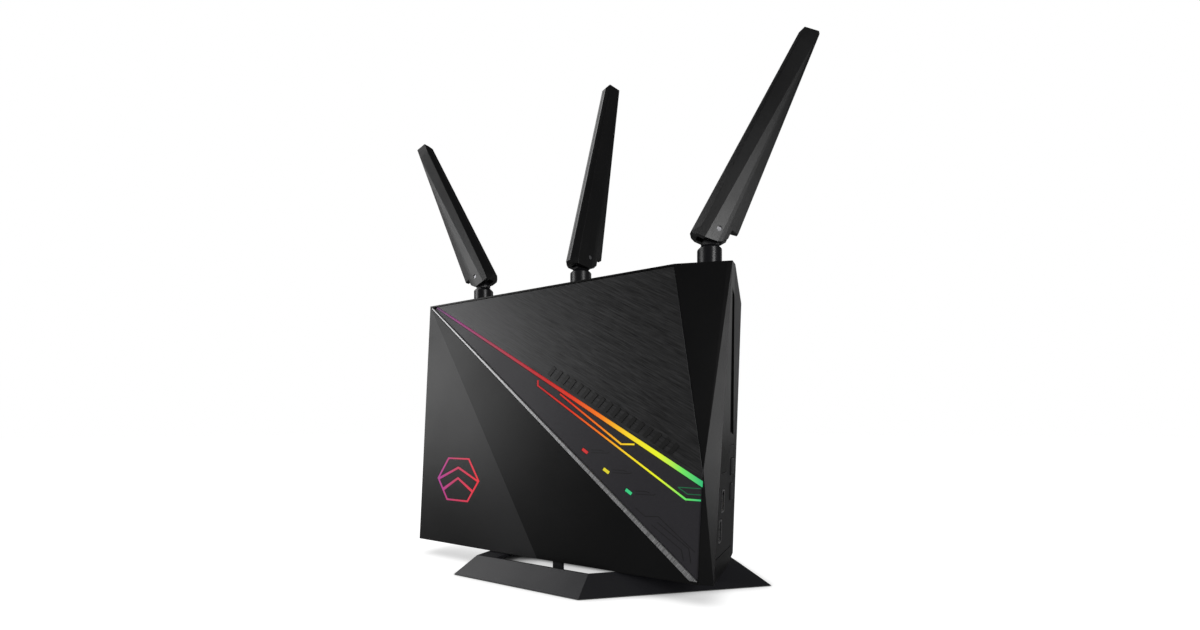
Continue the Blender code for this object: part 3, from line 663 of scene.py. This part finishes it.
@dataclass
class Palette:
    """Every finish on the router, made once.

    Each field but the last is one finish, named for the piece or the metal that wears it.

    Attributes:
        made: The materials built so far, by the name of their field.
    """

    # The cover's pale colour is a painted highlight beside the long crease.
    case: PaintedHighlightPlastic = PaintedHighlightPlastic(
        "case_plastic_painted_highlight",
        dark=(0.006, 0.006, 0.0063),
        pale=(0.032, 0.032, 0.033),
        foot=(-1.5 * MM, 11.5 * MM),
        head=(-116.5 * MM, 198.5 * MM),
    )
    rear: MouldedPlastic = MouldedPlastic("rear_plastic", (0.02, 0.02, 0.022), 0.5, 2200.0, 0.06 * MM)
    brushed: Brushed = Brushed("brushed_panel", (0.045, 0.045, 0.046), math.radians(-30), 0.4, 0.5)
    traces: MouldedPlastic = MouldedPlastic("trace_plastic", (0.04, 0.038, 0.044), 0.45, specular=0.35)
    trim: Brushed = Brushed("trim_grey", (0.42, 0.42, 0.425), math.radians(50), 0.42, 0.6)
    sleeve: MouldedPlastic = MouldedPlastic("sleeve_plastic", (0.012, 0.012, 0.014), 0.3)
    side: MouldedPlastic = MouldedPlastic("side_plastic", (0.016, 0.016, 0.017), 0.5)
    button: MouldedPlastic = MouldedPlastic("button_plastic", (0.022, 0.022, 0.024), 0.4)
    socket: MouldedPlastic = MouldedPlastic("socket_plastic", (0.008, 0.008, 0.008), 0.45)
    aerial: MouldedPlastic = MouldedPlastic(
        "aerial_plastic", (0.008, 0.008, 0.0085), 0.36, 2000.0, 0.05 * MM, specular=0.45
    )
    stand: MouldedPlastic = MouldedPlastic(
        "stand_plastic", (0.022, 0.022, 0.0255), 0.42, 2400.0, 0.05 * MM, specular=0.4
    )
    rubber: MouldedPlastic = MouldedPlastic(
        "pad_rubber", (0.012, 0.012, 0.012), 0.85, 1400.0, 0.08 * MM, specular=0.3
    )
    nickel: Metal = Metal("nickel_plate", (0.62, 0.62, 0.63), 0.28)
    steel: Metal = Metal("zinc_steel", (0.45, 0.45, 0.47), 0.35)
    brass: Metal = Metal("turned_brass", (0.58, 0.44, 0.2), 0.3)
    aluminium: Metal = Metal("extruded_aluminium", (0.7, 0.7, 0.72), 0.4, (4000.0, 300.0, 60.0))
    gold: Metal = Metal("gold_contact", (0.85, 0.62, 0.22), 0.25)
    board: Board = Board("circuit_board")
    sweep: Lit = Lit("lit_sweep", Glow.SWEEP)
    badge: Lit = Lit("lit_badge", Glow.SWEEP, 1.7, (-112 * MM, 10 * MM))
    red: Lit = Lit("lit_red", Glow.RED, 1.0)
    yellow: Lit = Lit("lit_yellow", Glow.YELLOW, 1.0)
    green: Lit = Lit("lit_green", Glow.GREEN, 1.0)
    faint: Lit = Lit("lit_faint", Glow.GREEN, 0.22)
    made: dict[str, bpy.types.Material] = field(default_factory=dict)

    def get(self, name: str) -> bpy.types.Material:
        """The material of a finish, made on first use."""
        if name not in self.made:
            self.made[name] = getattr(self, name).make()
        return self.made[name]


@dataclass
class FrontPlane:
    """The leaning plane that the front panels share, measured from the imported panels.

    Attributes:
        foot_y: Y of the plane at the case's foot.
        foot_z: Height of the case's foot.
        lean: Angle from upright.
        trim_depth: Part of the trim box's size from front to back that isn't lean.
    """

    foot_y: float = 0.0
    foot_z: float = 0.0
    lean: float = 0.0
    trim_depth: float = 2.6 * MM

    def measure(self) -> "FrontPlane":
        """Read the plane's foot off the cover, and its lean off the long trim strip.

        Returns:
            Itself.
        """
        cover_low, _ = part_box("front_cover")
        trim_low, trim_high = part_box("diagonal_trim")
        self.foot_z = cover_low.z
        self.foot_y = cover_low.y
        back = trim_high.y - trim_low.y - self.trim_depth
        self.lean = math.atan2(back, trim_high.z - trim_low.z)
        return self

    def height_of(self, z: float) -> float:
        """Height up the plane of a point at a given Z."""
        return (z - self.foot_z) / math.cos(self.lean)

    def place(self, lift: float) -> Matrix:
        """Transform from (x, height up the plane, out) to the object's frame.

        Args:
            lift: Distance out of the plane.

        Returns:
            The transform.
        """
        foot = Matrix.Translation((0, self.foot_y, self.foot_z))
        tilt = Matrix.Rotation(math.pi / 2 - self.lean, 4, "X")
        return foot @ tilt @ Matrix.Translation((0, 0, lift))


def ribbon(bm: bmesh.types.BMesh, points: list[Point], width: float, height: float, place: Matrix) -> None:
    """Add a raised line of even width along a path.

    Args:
        bm: Mesh to add to.
        points: The path, in the plane.
        width: Width of the line.
        height: How far it stands out.
        place: From the plane to the object.
    """
    sides: list[tuple[Vector, Vector]] = []
    for i, point in enumerate(points):
        here = Vector(point)
        before = (here - Vector(points[i - 1])).normalized() if i else None
        after = (Vector(points[i + 1]) - here).normalized() if i + 1 < len(points) else None
        before, after = before or after, after or before
        along = (before + after).normalized()
        side = Vector((-along.y, along.x)) * width / 2 / max(MITRE_LIMIT, along.dot(before))
        sides.append((here + side, here - side))
    rows: list[list[bmesh.types.BMVert]] = []
    for left, right in sides:
        corners = ((left, 0.0), (left, height), (right, height), (right, 0.0))
        rows.append([bm.verts.new(place @ Vector((p.x, p.y, z))) for p, z in corners])
    for first, second in zip(rows, rows[1:]):
        for i in range(4):
            bm.faces.new((first[i], first[(i + 1) % 4], second[(i + 1) % 4], second[i]))
    bm.faces.new(rows[0][::-1])
    bm.faces.new(rows[-1])


# Engraved lines of the trace panel, as (x, height up the plane) in millimetres: three that nest in its lower
# corner, and one near its upper end. They are drawn as dark strips, whose darkness is painted shade of the
# grooves.
ENGRAVED_PATHS: tuple[tuple[Point, ...], ...] = (
    ((69.6, 39.7), (76.1, 35.2), (84.4, 35.9), (107.0, 17.9)),
    ((80.3, 30.6), (99.0, 18.2), (100.4, 12.2)),
    ((84.0, 32.4), (103.4, 19.4), (104.8, 11.4)),
    ((-60.0, 138.0), (-52.0, 132.6), (-47.0, 133.0), (-40.0, 127.4)),
)


@dataclass
class Fascia:
    """The front: cover, panels, trim, lit parts and the fine lines between them.

    Attributes:
        palette: Finishes.
        plane: The panels' shared plane.
        cover_rounding: Rounding of the front cover.
        panel_rounding: Rounding of the brushed panel.
        trace_rounding: Rounding of the trace panel.
        trim_rounding: Rounding of the trim strip.
        bar_rounding: Rounding of the light bar.
        badge_rounding: Rounding of the badge.
        bar_start_drop: How far the bar's middle line lies under its box's top, at its left end.
        bar_end_rise: How far the middle line lies over its box's foot, at its right end.
        tick_count: Plain slanted ticks above the light bar.
        tick_span: Shares of the bar's length where the first and last tick stand.
        tick_width: Width of a tick.
        tick_height: Height of a tick, away from the bar.
        tick_gap: Distance from the bar's middle line to the ticks' feet.
        tick_slant: How far a tick's top lies along the bar from its foot.
        tick_sink: How far below the plane a tick starts.
        tick_rise: Thickness of a tick.
        trace_depth: How far behind the plane the engraved lines start.
        line_width: Width of the engraved lines.
        line_rise: Thickness of the engraved and the dim lines.
        pointer_gap: Distance from a status light to its pointer.
        pointer_length: Distance from a status light to its pointer's tip.
        pointer_half: Half of the distance between a pointer's two lines.
        pointer_bends: Distances from the tip back to the bends of the long and the short line.
        pointer_short_end: Distance from the tip back to the short line's end.
        pointer_closing: Half of the height left between the lines' ends.
        end_depth: How far behind the plane the dim lines start.
        end_width: Width of the dim lines.
        end_x: X of the dim lines' joint, of the lower line's bend and of their right ends.
        end_heights: Heights up the plane of the upper and the lower dim line.
    """

    palette: Palette
    plane: FrontPlane
    cover_rounding: float = 0.35 * MM
    panel_rounding: float = 0.2 * MM
    trace_rounding: float = 0.15 * MM
    trim_rounding: float = 0.25 * MM
    bar_rounding: float = 0.12 * MM
    badge_rounding: float = 0.1 * MM
    bar_start_drop: float = 1.2 * MM
    bar_end_rise: float = 2.4 * MM
    tick_count: int = 17
    tick_span: Point = (0.50, 0.90)
    tick_width: float = 2.7 * MM
    tick_height: float = 7.0 * MM
    tick_gap: float = 4.2 * MM
    tick_slant: float = 1.6 * MM
    tick_sink: float = 0.1 * MM
    tick_rise: float = 0.4 * MM
    trace_depth: float = 0.86 * MM
    line_width: float = 0.38 * MM
    line_rise: float = 0.1 * MM
    pointer_gap: float = 2.2 * MM
    pointer_length: float = 15.5 * MM
    pointer_half: float = 0.9 * MM
    pointer_bends: Point = (1.2 * MM, 6.0 * MM)
    pointer_short_end: float = 3.6 * MM
    pointer_closing: float = 0.2 * MM
    end_depth: float = 0.84 * MM
    end_width: float = 0.5 * MM
    end_x: Triple = (96.2 * MM, 102.0 * MM, 109.9 * MM)
    end_heights: Point = (53.9 * MM, 50.3 * MM)

    def build(self) -> None:
        """Dress and detail the front."""
        get = self.palette.get
        soften("front_cover", self.cover_rounding, get("case"), segments=3)
        soften("upper_panel", self.panel_rounding, get("brushed"))
        soften("trace_panel", self.trace_rounding, get("traces"))
        soften("diagonal_trim", self.trim_rounding, get("trim"))
        soften("light_bar", self.bar_rounding, get("sweep"))
        for node in ("light_trace_long", "light_trace_short"):
            dress(node, get("sweep"))
        soften("badge_lens", self.badge_rounding, get("badge"))
        for i, finish in enumerate(("red", "yellow", "green")):
            dress(f"status_lens_{i + 1}", get(finish))
        self.ticks()
        self.engraving()
        self.end_lines()

    def bar_line(self) -> tuple[Vector, Vector]:
        """The light bar's two ends, as (x, height up the plane)."""
        low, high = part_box("light_bar")
        start = self.plane.height_of(high.z) - self.bar_start_drop
        end = self.plane.height_of(low.z) + self.bar_end_rise
        return Vector((low.x, start)), Vector((high.x, end))

    def ticks(self) -> None:
        """Add a row of plain slanted ticks along the upper side of the bar."""
        start, end = self.bar_line()
        along = (end - start).normalized()
        across = Vector((-along.y, along.x))
        place = self.plane.place(-self.tick_sink)
        bm = bmesh.new()
        first, last = self.tick_span
        for i in range(self.tick_count):
            share = first + (last - first) * i / (self.tick_count - 1)
            foot = start.lerp(end, share) + across * self.tick_gap
            top = foot + across * self.tick_height + along * self.tick_slant
            ribbon(bm, [tuple(foot), tuple(top)], self.tick_width, self.tick_rise, place)
        piece = add_mesh("bar_ticks", bm)
        piece.data.materials.append(self.palette.get("socket"))
        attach(piece, "case")

    def engraving(self) -> None:
        """Add the fine lines that join the status lights and fill the lower corner of the trace panel, as
        dark strips that paint the shade of engraved grooves.
        """
        place = self.plane.place(-self.trace_depth)
        bm = bmesh.new()
        for i in range(3):
            low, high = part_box(f"status_lens_{i + 1}")
            height = self.plane.height_of((low.z + high.z) / 2)
            self.pointer(bm, place, high.x, height)
        for path in ENGRAVED_PATHS:
            points = [(x * MM, height * MM) for x, height in path]
            ribbon(bm, points, self.line_width, self.line_rise, place)
        piece = add_mesh("trace_engraving_painted_shade", bm)
        # The strips' black is painted shade of the engraved grooves.
        piece.data.materials.append(self.palette.get("socket"))
        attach(piece, "case")

    def end_lines(self) -> None:
        """Add the two dim lines between the end of the bar and the end of the long trace."""
        place = self.plane.place(-self.end_depth)
        joint_x, bend_x, right_x = self.end_x
        upper, lower = self.end_heights
        bm = bmesh.new()
        upper_line = [(joint_x, upper), (right_x, upper)]
        lower_line = [(joint_x, upper), (bend_x, lower), (right_x, lower)]
        for path in (upper_line, lower_line):
            ribbon(bm, path, self.end_width, self.line_rise, place)
        piece = add_mesh("end_lines", bm)
        piece.data.materials.append(self.palette.get("faint"))
        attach(piece, "case")

    def pointer(self, bm: bmesh.types.BMesh, place: Matrix, x: float, height: float) -> None:
        """Add one engraved pointer beside a status light: a long line under a short one, as dark strips that
        paint the shade of the grooves.

        Args:
            bm: Mesh to add to.
            place: From the plane to the object.
            x: X of the light's right end.
            height: The light's height up the plane.
        """
        near, far = x + self.pointer_gap, x + self.pointer_length
        low, high = height - self.pointer_half, height + self.pointer_half
        long_bend, short_bend = (far - back for back in self.pointer_bends)
        short_end = far - self.pointer_short_end
        long_line = [(near, low), (long_bend, low), (far, height - self.pointer_closing)]
        short_line = [(near, high), (short_bend, high), (short_end, height + self.pointer_closing)]
        for path in (long_line, short_line):
            ribbon(bm, path, self.line_width, self.line_rise, place)


@dataclass
class Casing:
    """Rear housing, side panel, sockets, buttons, screws and what shows through the vents.

    Attributes:
        palette: Finishes.
        housing_rounding: Rounding of the rear housing.
        side_rounding: Rounding of the side panel.
        socket_rounding: Rounding of the network sockets.
        inlet_rounding: Rounding of the power inlet and the power button.
        reset_rounding: Rounding of the reset button.
        screw_count: Screws that hold the housing.
        flare: How far the right end leans out, and over what height.
        tongue_size: Size of a USB socket's tongue.
        tongue_inset: Distance from the back of the USB socket to its tongue.
        tongue_offset: How far the tongue lies behind the socket's middle.
        tongue_round: Rounding of the tongue's edges.
        usb_contact_count: Contacts on a tongue.
        usb_contact_pitch: Distance between them.
        usb_contact_size: Size of one.
        usb_contact_round: Rounding of their edges.
        rim_width: Width of the rolled rim round a USB socket.
        rim_rise: How far the rim stands out of the side panel.
        rim_inset: Distance from the socket's outside to the rim's middle line.
        contact_count: Sprung contacts of a network socket.
        contact_pitch: Distance between them.
        contact_radius: Radius of one.
        contact_depth: Distance from the socket's mouth to the contacts' inner ends.
        contact_run: How far a contact comes forward.
        contact_drops: How far its inner and outer ends lie under the socket's top.
    """

    palette: Palette
    housing_rounding: float = 0.5 * MM
    side_rounding: float = 0.15 * MM
    socket_rounding: float = 0.3 * MM
    inlet_rounding: float = 0.4 * MM
    reset_rounding: float = 0.2 * MM
    screw_count: int = 4
    flare: Point = (6 * MM, 187 * MM)
    tongue_size: Triple = (10.0 * MM, 1.5 * MM, 10.4 * MM)
    tongue_inset: float = 2.0 * MM
    tongue_offset: float = 1.2 * MM
    tongue_round: float = 0.25 * MM
    usb_contact_count: int = 4
    usb_contact_pitch: float = 2.3 * MM
    usb_contact_size: Triple = (8.4 * MM, 0.2 * MM, 1.0 * MM)
    usb_contact_round: float = 0.04 * MM
    rim_width: float = 0.8 * MM
    rim_rise: float = 0.25 * MM
    rim_inset: float = 0.4 * MM
    contact_count: int = 8
    contact_pitch: float = 1.02 * MM
    contact_radius: float = 0.22 * MM
    contact_depth: float = 11.6 * MM
    contact_run: float = 7 * MM
    contact_drops: Point = (2.6 * MM, 5.2 * MM)

    def build(self) -> None:
        """Dress and detail the case behind the front."""
        get = self.palette.get
        soften("rear_housing", self.housing_rounding, get("rear"))
        soften("side_panel", self.side_rounding, get("side"))
        for i in (1, 2):
            dress(f"side_button_{i}", get("button"))
            dress(f"usb_port_{i}", get("nickel"))
            self.usb_tongue(i)
            self.usb_contacts(i)
            self.usb_rim(i)
        for name in ("wan_port", "lan_port_1", "lan_port_2", "lan_port_3", "lan_port_4"):
            soften(name, self.socket_rounding, get("socket"))
            self.contacts(name)
        soften("dc_jack", self.inlet_rounding, get("socket"), Shading.TURNED)
        soften("power_button", self.inlet_rounding, get("button"), Shading.TURNED)
        soften("reset_button", self.reset_rounding, get("button"), Shading.TURNED)
        for i in range(self.screw_count):
            dress(f"housing_screw_{i + 1}", get("steel"))
        dress("main_board", get("board"))
        dress("light_board", get("board"))
        dress("heat_sink", get("aluminium"))
        dress("radio_shield", get("nickel"))

    def tongue_centre(self, number: int) -> Vector:
        """The middle of a USB socket's tongue."""
        low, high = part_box(f"usb_port_{number}")
        x = low.x + self.tongue_inset + self.tongue_size[0] / 2
        return Vector((x, (low.y + high.y) / 2 + self.tongue_offset, (low.z + high.z) / 2))

    def usb_tongue(self, number: int) -> None:
        """Add the tongue inside a USB socket.

        Args:
            number: Which socket.
        """
        bm = bmesh.new()
        place = Matrix.Translation(self.tongue_centre(number)) @ Matrix.Diagonal((*self.tongue_size, 1.0))
        bmesh.ops.create_cube(bm, size=1.0, matrix=place)
        bmesh.ops.bevel(bm, geom=bm.edges[:], offset=self.tongue_round, segments=2, affect="EDGES")
        tongue = add_mesh(f"usb_tongue_{number}", bm)
        tongue.data.materials.append(self.palette.get("socket"))
        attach(tongue, "case")

    def usb_contacts(self, number: int) -> None:
        """Add the flat contacts on the front face of a USB socket's tongue.

        Args:
            number: Which socket.
        """
        centre = self.tongue_centre(number)
        face_y = centre.y - self.tongue_size[1] / 2 - self.usb_contact_size[1] / 2
        bm = bmesh.new()
        for i in range(self.usb_contact_count):
            z = centre.z + (i - (self.usb_contact_count - 1) / 2) * self.usb_contact_pitch
            spot = Matrix.Translation((centre.x, face_y, z))
            bmesh.ops.create_cube(bm, size=1.0, matrix=spot @ Matrix.Diagonal((*self.usb_contact_size, 1.0)))
        bmesh.ops.bevel(bm, geom=bm.edges[:], offset=self.usb_contact_round, segments=1, affect="EDGES")
        strips = add_mesh(f"usb_contacts_{number}", bm)
        strips.data.materials.append(self.palette.get("gold"))
        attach(strips, "case")

    def usb_rim(self, number: int) -> None:
        """Add the bright rolled rim of a USB socket's shell, just proud of the side panel.

        Args:
            number: Which socket.
        """
        low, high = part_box(f"usb_port_{number}")
        middle = (low + high) / 2
        _, panel_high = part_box("side_panel")
        flare = math.atan2(*self.flare)
        lean_x, lean_z = math.sin(flare), math.cos(flare)
        face_x = panel_high.x - (panel_high.z - middle.z) * math.tan(flare)
        turn = Matrix(((0, lean_x, lean_z), (1, 0, 0), (0, lean_z, -lean_x))).to_4x4()
        place = Matrix.Translation((face_x, middle.y, middle.z)) @ turn
        across = (high.y - low.y) / 2 - self.rim_inset
        up = (high.z - low.z) / 2 - self.rim_inset
        bm = bmesh.new()
        for side in (-across, across):
            ribbon(bm, [(side, -up), (side, up)], self.rim_width, self.rim_rise, place)
        for end in (-up, up):
            ribbon(bm, [(-across, end), (across, end)], self.rim_width, self.rim_rise, place)
        rim = add_mesh(f"usb_rim_{number}", bm)
        rim.data.materials.append(self.palette.get("nickel"))
        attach(rim, "case")

    def contacts(self, node: str) -> None:
        """Add the row of sprung contacts inside a network socket.

        Args:
            node: The socket.
        """
        low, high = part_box(node)
        inner_y = high.y - self.contact_depth
        inner_drop, outer_drop = self.contact_drops
        bm = bmesh.new()
        for i in range(self.contact_count):
            x = (low.x + high.x) / 2 + (i - (self.contact_count - 1) / 2) * self.contact_pitch
            inner = Vector((x, inner_y, high.z - inner_drop))
            outer = Vector((x, inner_y + self.contact_run, high.z - outer_drop))
            along = outer - inner
            turn = along.to_track_quat("Z", "Y").to_matrix().to_4x4()
            bmesh.ops.create_cone(
                bm,
                cap_ends=True,
                segments=8,
                radius1=self.contact_radius,
                radius2=self.contact_radius,
                depth=along.length,
                matrix=Matrix.Translation((inner + outer) / 2) @ turn,
            )
        pins = add_mesh(node + "_contacts", bm)
        pins.data.materials.append(self.palette.get("gold"))
        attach(pins, "case")


@dataclass
class Aerials:
    """The three aerials, each with a socket, sleeve, neck, blade and pin.

    Attributes:
        palette: Finishes.
        count: How many aerials.
        rounding: Rounding of the sleeve and the blade's two halves.
        neck_rounding: Rounding of the hinge neck.
    """

    palette: Palette
    count: int = 3
    rounding: float = 0.3 * MM
    neck_rounding: float = 0.35 * MM

    def build(self) -> None:
        """Dress the aerials."""
        get = self.palette.get
        for i in range(1, self.count + 1):
            dress(f"aerial_socket_{i}", get("brass"))
            soften(f"aerial_sleeve_{i}", self.rounding, get("sleeve"), Shading.TURNED)
            soften(f"aerial_neck_{i}", self.neck_rounding, get("sleeve"), Shading.TURNED)
            soften(f"aerial_cover_a_{i}", self.rounding, get("aerial"))
            soften(f"aerial_cover_b_{i}", self.rounding, get("aerial"))
            dress(f"aerial_pin_{i}", get("steel"))


@dataclass
class Stand:
    """The low stand, its saddle, pads and screws.

    Attributes:
        palette: Finishes.
        pad_count: Rubber pads under the base.
        screw_count: Screws through the saddle.
        base_rounding: Rounding of the base.
        saddle_rounding: Rounding of the saddle.
    """

    palette: Palette
    pad_count: int = 4
    screw_count: int = 2
    base_rounding: float = 0.7 * MM
    saddle_rounding: float = 0.3 * MM

    def build(self) -> None:
        """Dress the stand."""
        get = self.palette.get
        soften("stand_base", self.base_rounding, get("stand"), segments=3)
        soften("stand_saddle", self.saddle_rounding, get("stand"))
        for i in range(self.pad_count):
            dress(f"stand_pad_{i + 1}", get("rubber"))
        for i in range(self.screw_count):
            dress(f"stand_screw_{i + 1}", get("steel"))


@dataclass(frozen=True)
class Softbox:
    """One rectangular soft light.

    Attributes:
        name: Its name.
        spot: Where it stands.
        size: Width and height.
        power: Watts.
    """

    name: str
    spot: Triple
    size: Point
    power: float

    def add(self, aim: Triple) -> None:
        """Put the light in the scene.

        Args:
            aim: What it faces.
        """
        data = bpy.data.lights.new(self.name, "AREA")
        data.shape = "RECTANGLE"
        data.size, data.size_y = self.size
        data.energy = self.power
        light = bpy.data.objects.new(self.name, data)
        light.location = self.spot
        light.rotation_euler = (Vector(aim) - Vector(self.spot)).to_track_quat("-Z", "Y").to_euler()
        bpy.context.scene.collection.objects.link(light)


@dataclass
class Studio:
    """Floor, soft lights and camera.

    Attributes:
        eye: Camera position.
        heading: Camera's turn about the vertical.
        sensor: Width of its sensor in millimetres.
        lens: Focal length in millimetres.
        rise: Vertical shift, as a share of the frame's width.
        clip: Nearest distance that the camera shows.
        room: Light of the room all round.
        aim: What the lights face.
        lights: The soft lights.
        floor_half: Half of the floor's width.
        floor_dark: Darkest of the floor's paint.
        floor_light: Lightest of the floor's paint.
        floor_mottle: Cells in a metre of the paint's unevenness.
        floor_roughness: Roughness of the paint.
        floor_specular: Strength of the paint's shine.
        contact: How far the painted contact shadow round the stand's foot reaches.
        contact_power: How steeply that painted shadow darkens.
        shadow: How far the painted soft shadow round the stand reaches.
    """

    eye: Triple = (0.1856, -0.2389, 0.10006)
    heading: float = math.radians(28.47)
    sensor: float = 36.0
    lens: float = 13.97
    rise: float = 0.0937
    clip: float = 10 * MM
    room: Colour = (0.05, 0.05, 0.05)
    aim: Triple = (0.0, 0.04, 0.12)
    lights: tuple[Softbox, ...] = (
        Softbox("key_left", (-0.75, -0.5, 0.3), (0.4, 0.5), 2.6),
        Softbox("high_left", (-1.0, -0.1, 1.1), (0.9, 0.9), 6.2),
        Softbox("front_right", (0.95, -0.5, 0.3), (0.3, 0.6), 4.5),
        Softbox("rear_right", (0.45, 1.1, 0.35), (0.5, 0.6), 0.45),
    )
    floor_half: float = 6.0
    floor_dark: Colour = (0.38, 0.38, 0.38)
    floor_light: Colour = (0.42, 0.42, 0.42)
    floor_mottle: float = 60.0
    floor_roughness: float = 0.9
    floor_specular: float = 0.1
    contact: float = 9 * MM
    contact_power: float = 3.0
    shadow: float = 16 * MM

    def build(self) -> None:
        """Set the stage."""
        scene = bpy.context.scene
        scene.view_settings.view_transform = "Standard"
        scene.view_settings.look = "None"
        self.world(scene)
        self.floor()
        self.camera(scene)
        for light in self.lights:
            light.add(self.aim)

    def world(self, scene: bpy.types.Scene) -> None:
        """Surround the stage with a dim room that the camera sees as white.

        Args:
            scene: The scene to light.
        """
        world = bpy.data.worlds.new("studio")
        scene.world = world
        world.use_nodes = True
        tree = world.node_tree
        back = tree.nodes["Background"]
        back.inputs["Color"].default_value = (*self.room, 1.0)
        seen = tree.nodes.new("ShaderNodeBackground")
        seen.inputs["Color"].default_value = (1.0, 1.0, 1.0, 1.0)
        path = tree.nodes.new("ShaderNodeLightPath")
        mix = tree.nodes.new("ShaderNodeMixShader")
        tree.links.new(path.outputs["Is Camera Ray"], mix.inputs["Fac"])
        tree.links.new(back.outputs[0], mix.inputs[1])
        tree.links.new(seen.outputs[0], mix.inputs[2])
        tree.links.new(mix.outputs[0], tree.nodes["World Output"].inputs["Surface"])

    def floor(self) -> None:
        """Lay a pale floor that is white except close under the stand, where a shadow is painted into its
        glow from ambient occlusion, and dim to anything but the camera.
        """
        bm = bmesh.new()
        bmesh.ops.create_grid(bm, x_segments=1, y_segments=1, size=self.floor_half)
        floor = add_mesh("floor", bm)
        sheet = NodeSheet("floor_paint")
        # Painted shadow: the camera's glow is dimmed by ambient occlusion close to the stand.
        close = sheet.add("ShaderNodeAmbientOcclusion")
        close.inputs["Distance"].default_value = self.contact
        wide = sheet.add("ShaderNodeAmbientOcclusion")
        wide.inputs["Distance"].default_value = self.shadow
        line = sheet.math("POWER", close.outputs["AO"], self.contact_power)
        glow_outside_painted_shadow = sheet.math("MULTIPLY", line, wide.outputs["AO"])
        path = sheet.add("ShaderNodeLightPath")
        glow = sheet.math("MULTIPLY", glow_outside_painted_shadow, path.outputs["Is Camera Ray"])
        sheet.shader.inputs["Emission Color"].default_value = (1.0, 1.0, 1.0, 1.0)
        sheet.join(glow, sheet.shader.inputs["Emission Strength"])
        mottle = sheet.between(sheet.noise(sheet.place, self.floor_mottle), 0.0, 1.0)
        paint = sheet.tint(mottle, self.floor_dark, self.floor_light)
        sheet.join(paint, sheet.shader.inputs["Base Color"])
        sheet.shader.inputs["Roughness"].default_value = self.floor_roughness
        sheet.shader.inputs["Specular IOR Level"].default_value = self.floor_specular
        floor.data.materials.append(sheet.material)

    def camera(self, scene: bpy.types.Scene) -> None:
        """Set up the camera.

        Args:
            scene: The scene it belongs to.
        """
        data = bpy.data.cameras.new("camera")
        data.sensor_width = self.sensor
        data.lens = self.lens
        data.shift_y = self.rise
        data.clip_start = self.clip
        camera = bpy.data.objects.new("camera", data)
        camera.location = self.eye
        camera.rotation_euler = (math.pi / 2, 0.0, self.heading)
        scene.collection.objects.link(camera)
        scene.camera = camera


def main() -> None:
    """Dress the router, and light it."""
    logging.basicConfig(level=logging.INFO, format="%(message)s")
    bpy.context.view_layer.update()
    palette = Palette()
    plane = FrontPlane().measure()
    for name, part in (
        ("fascia", Fascia(palette, plane)),
        ("casing", Casing(palette)),
        ("aerials", Aerials(palette)),
        ("stand", Stand(palette)),
        ("studio", Studio()),
    ):
        part.build()
        LOG.info("built the %s", name)
    bpy.context.view_layer.update()


if __name__ == "__main__":
    main()
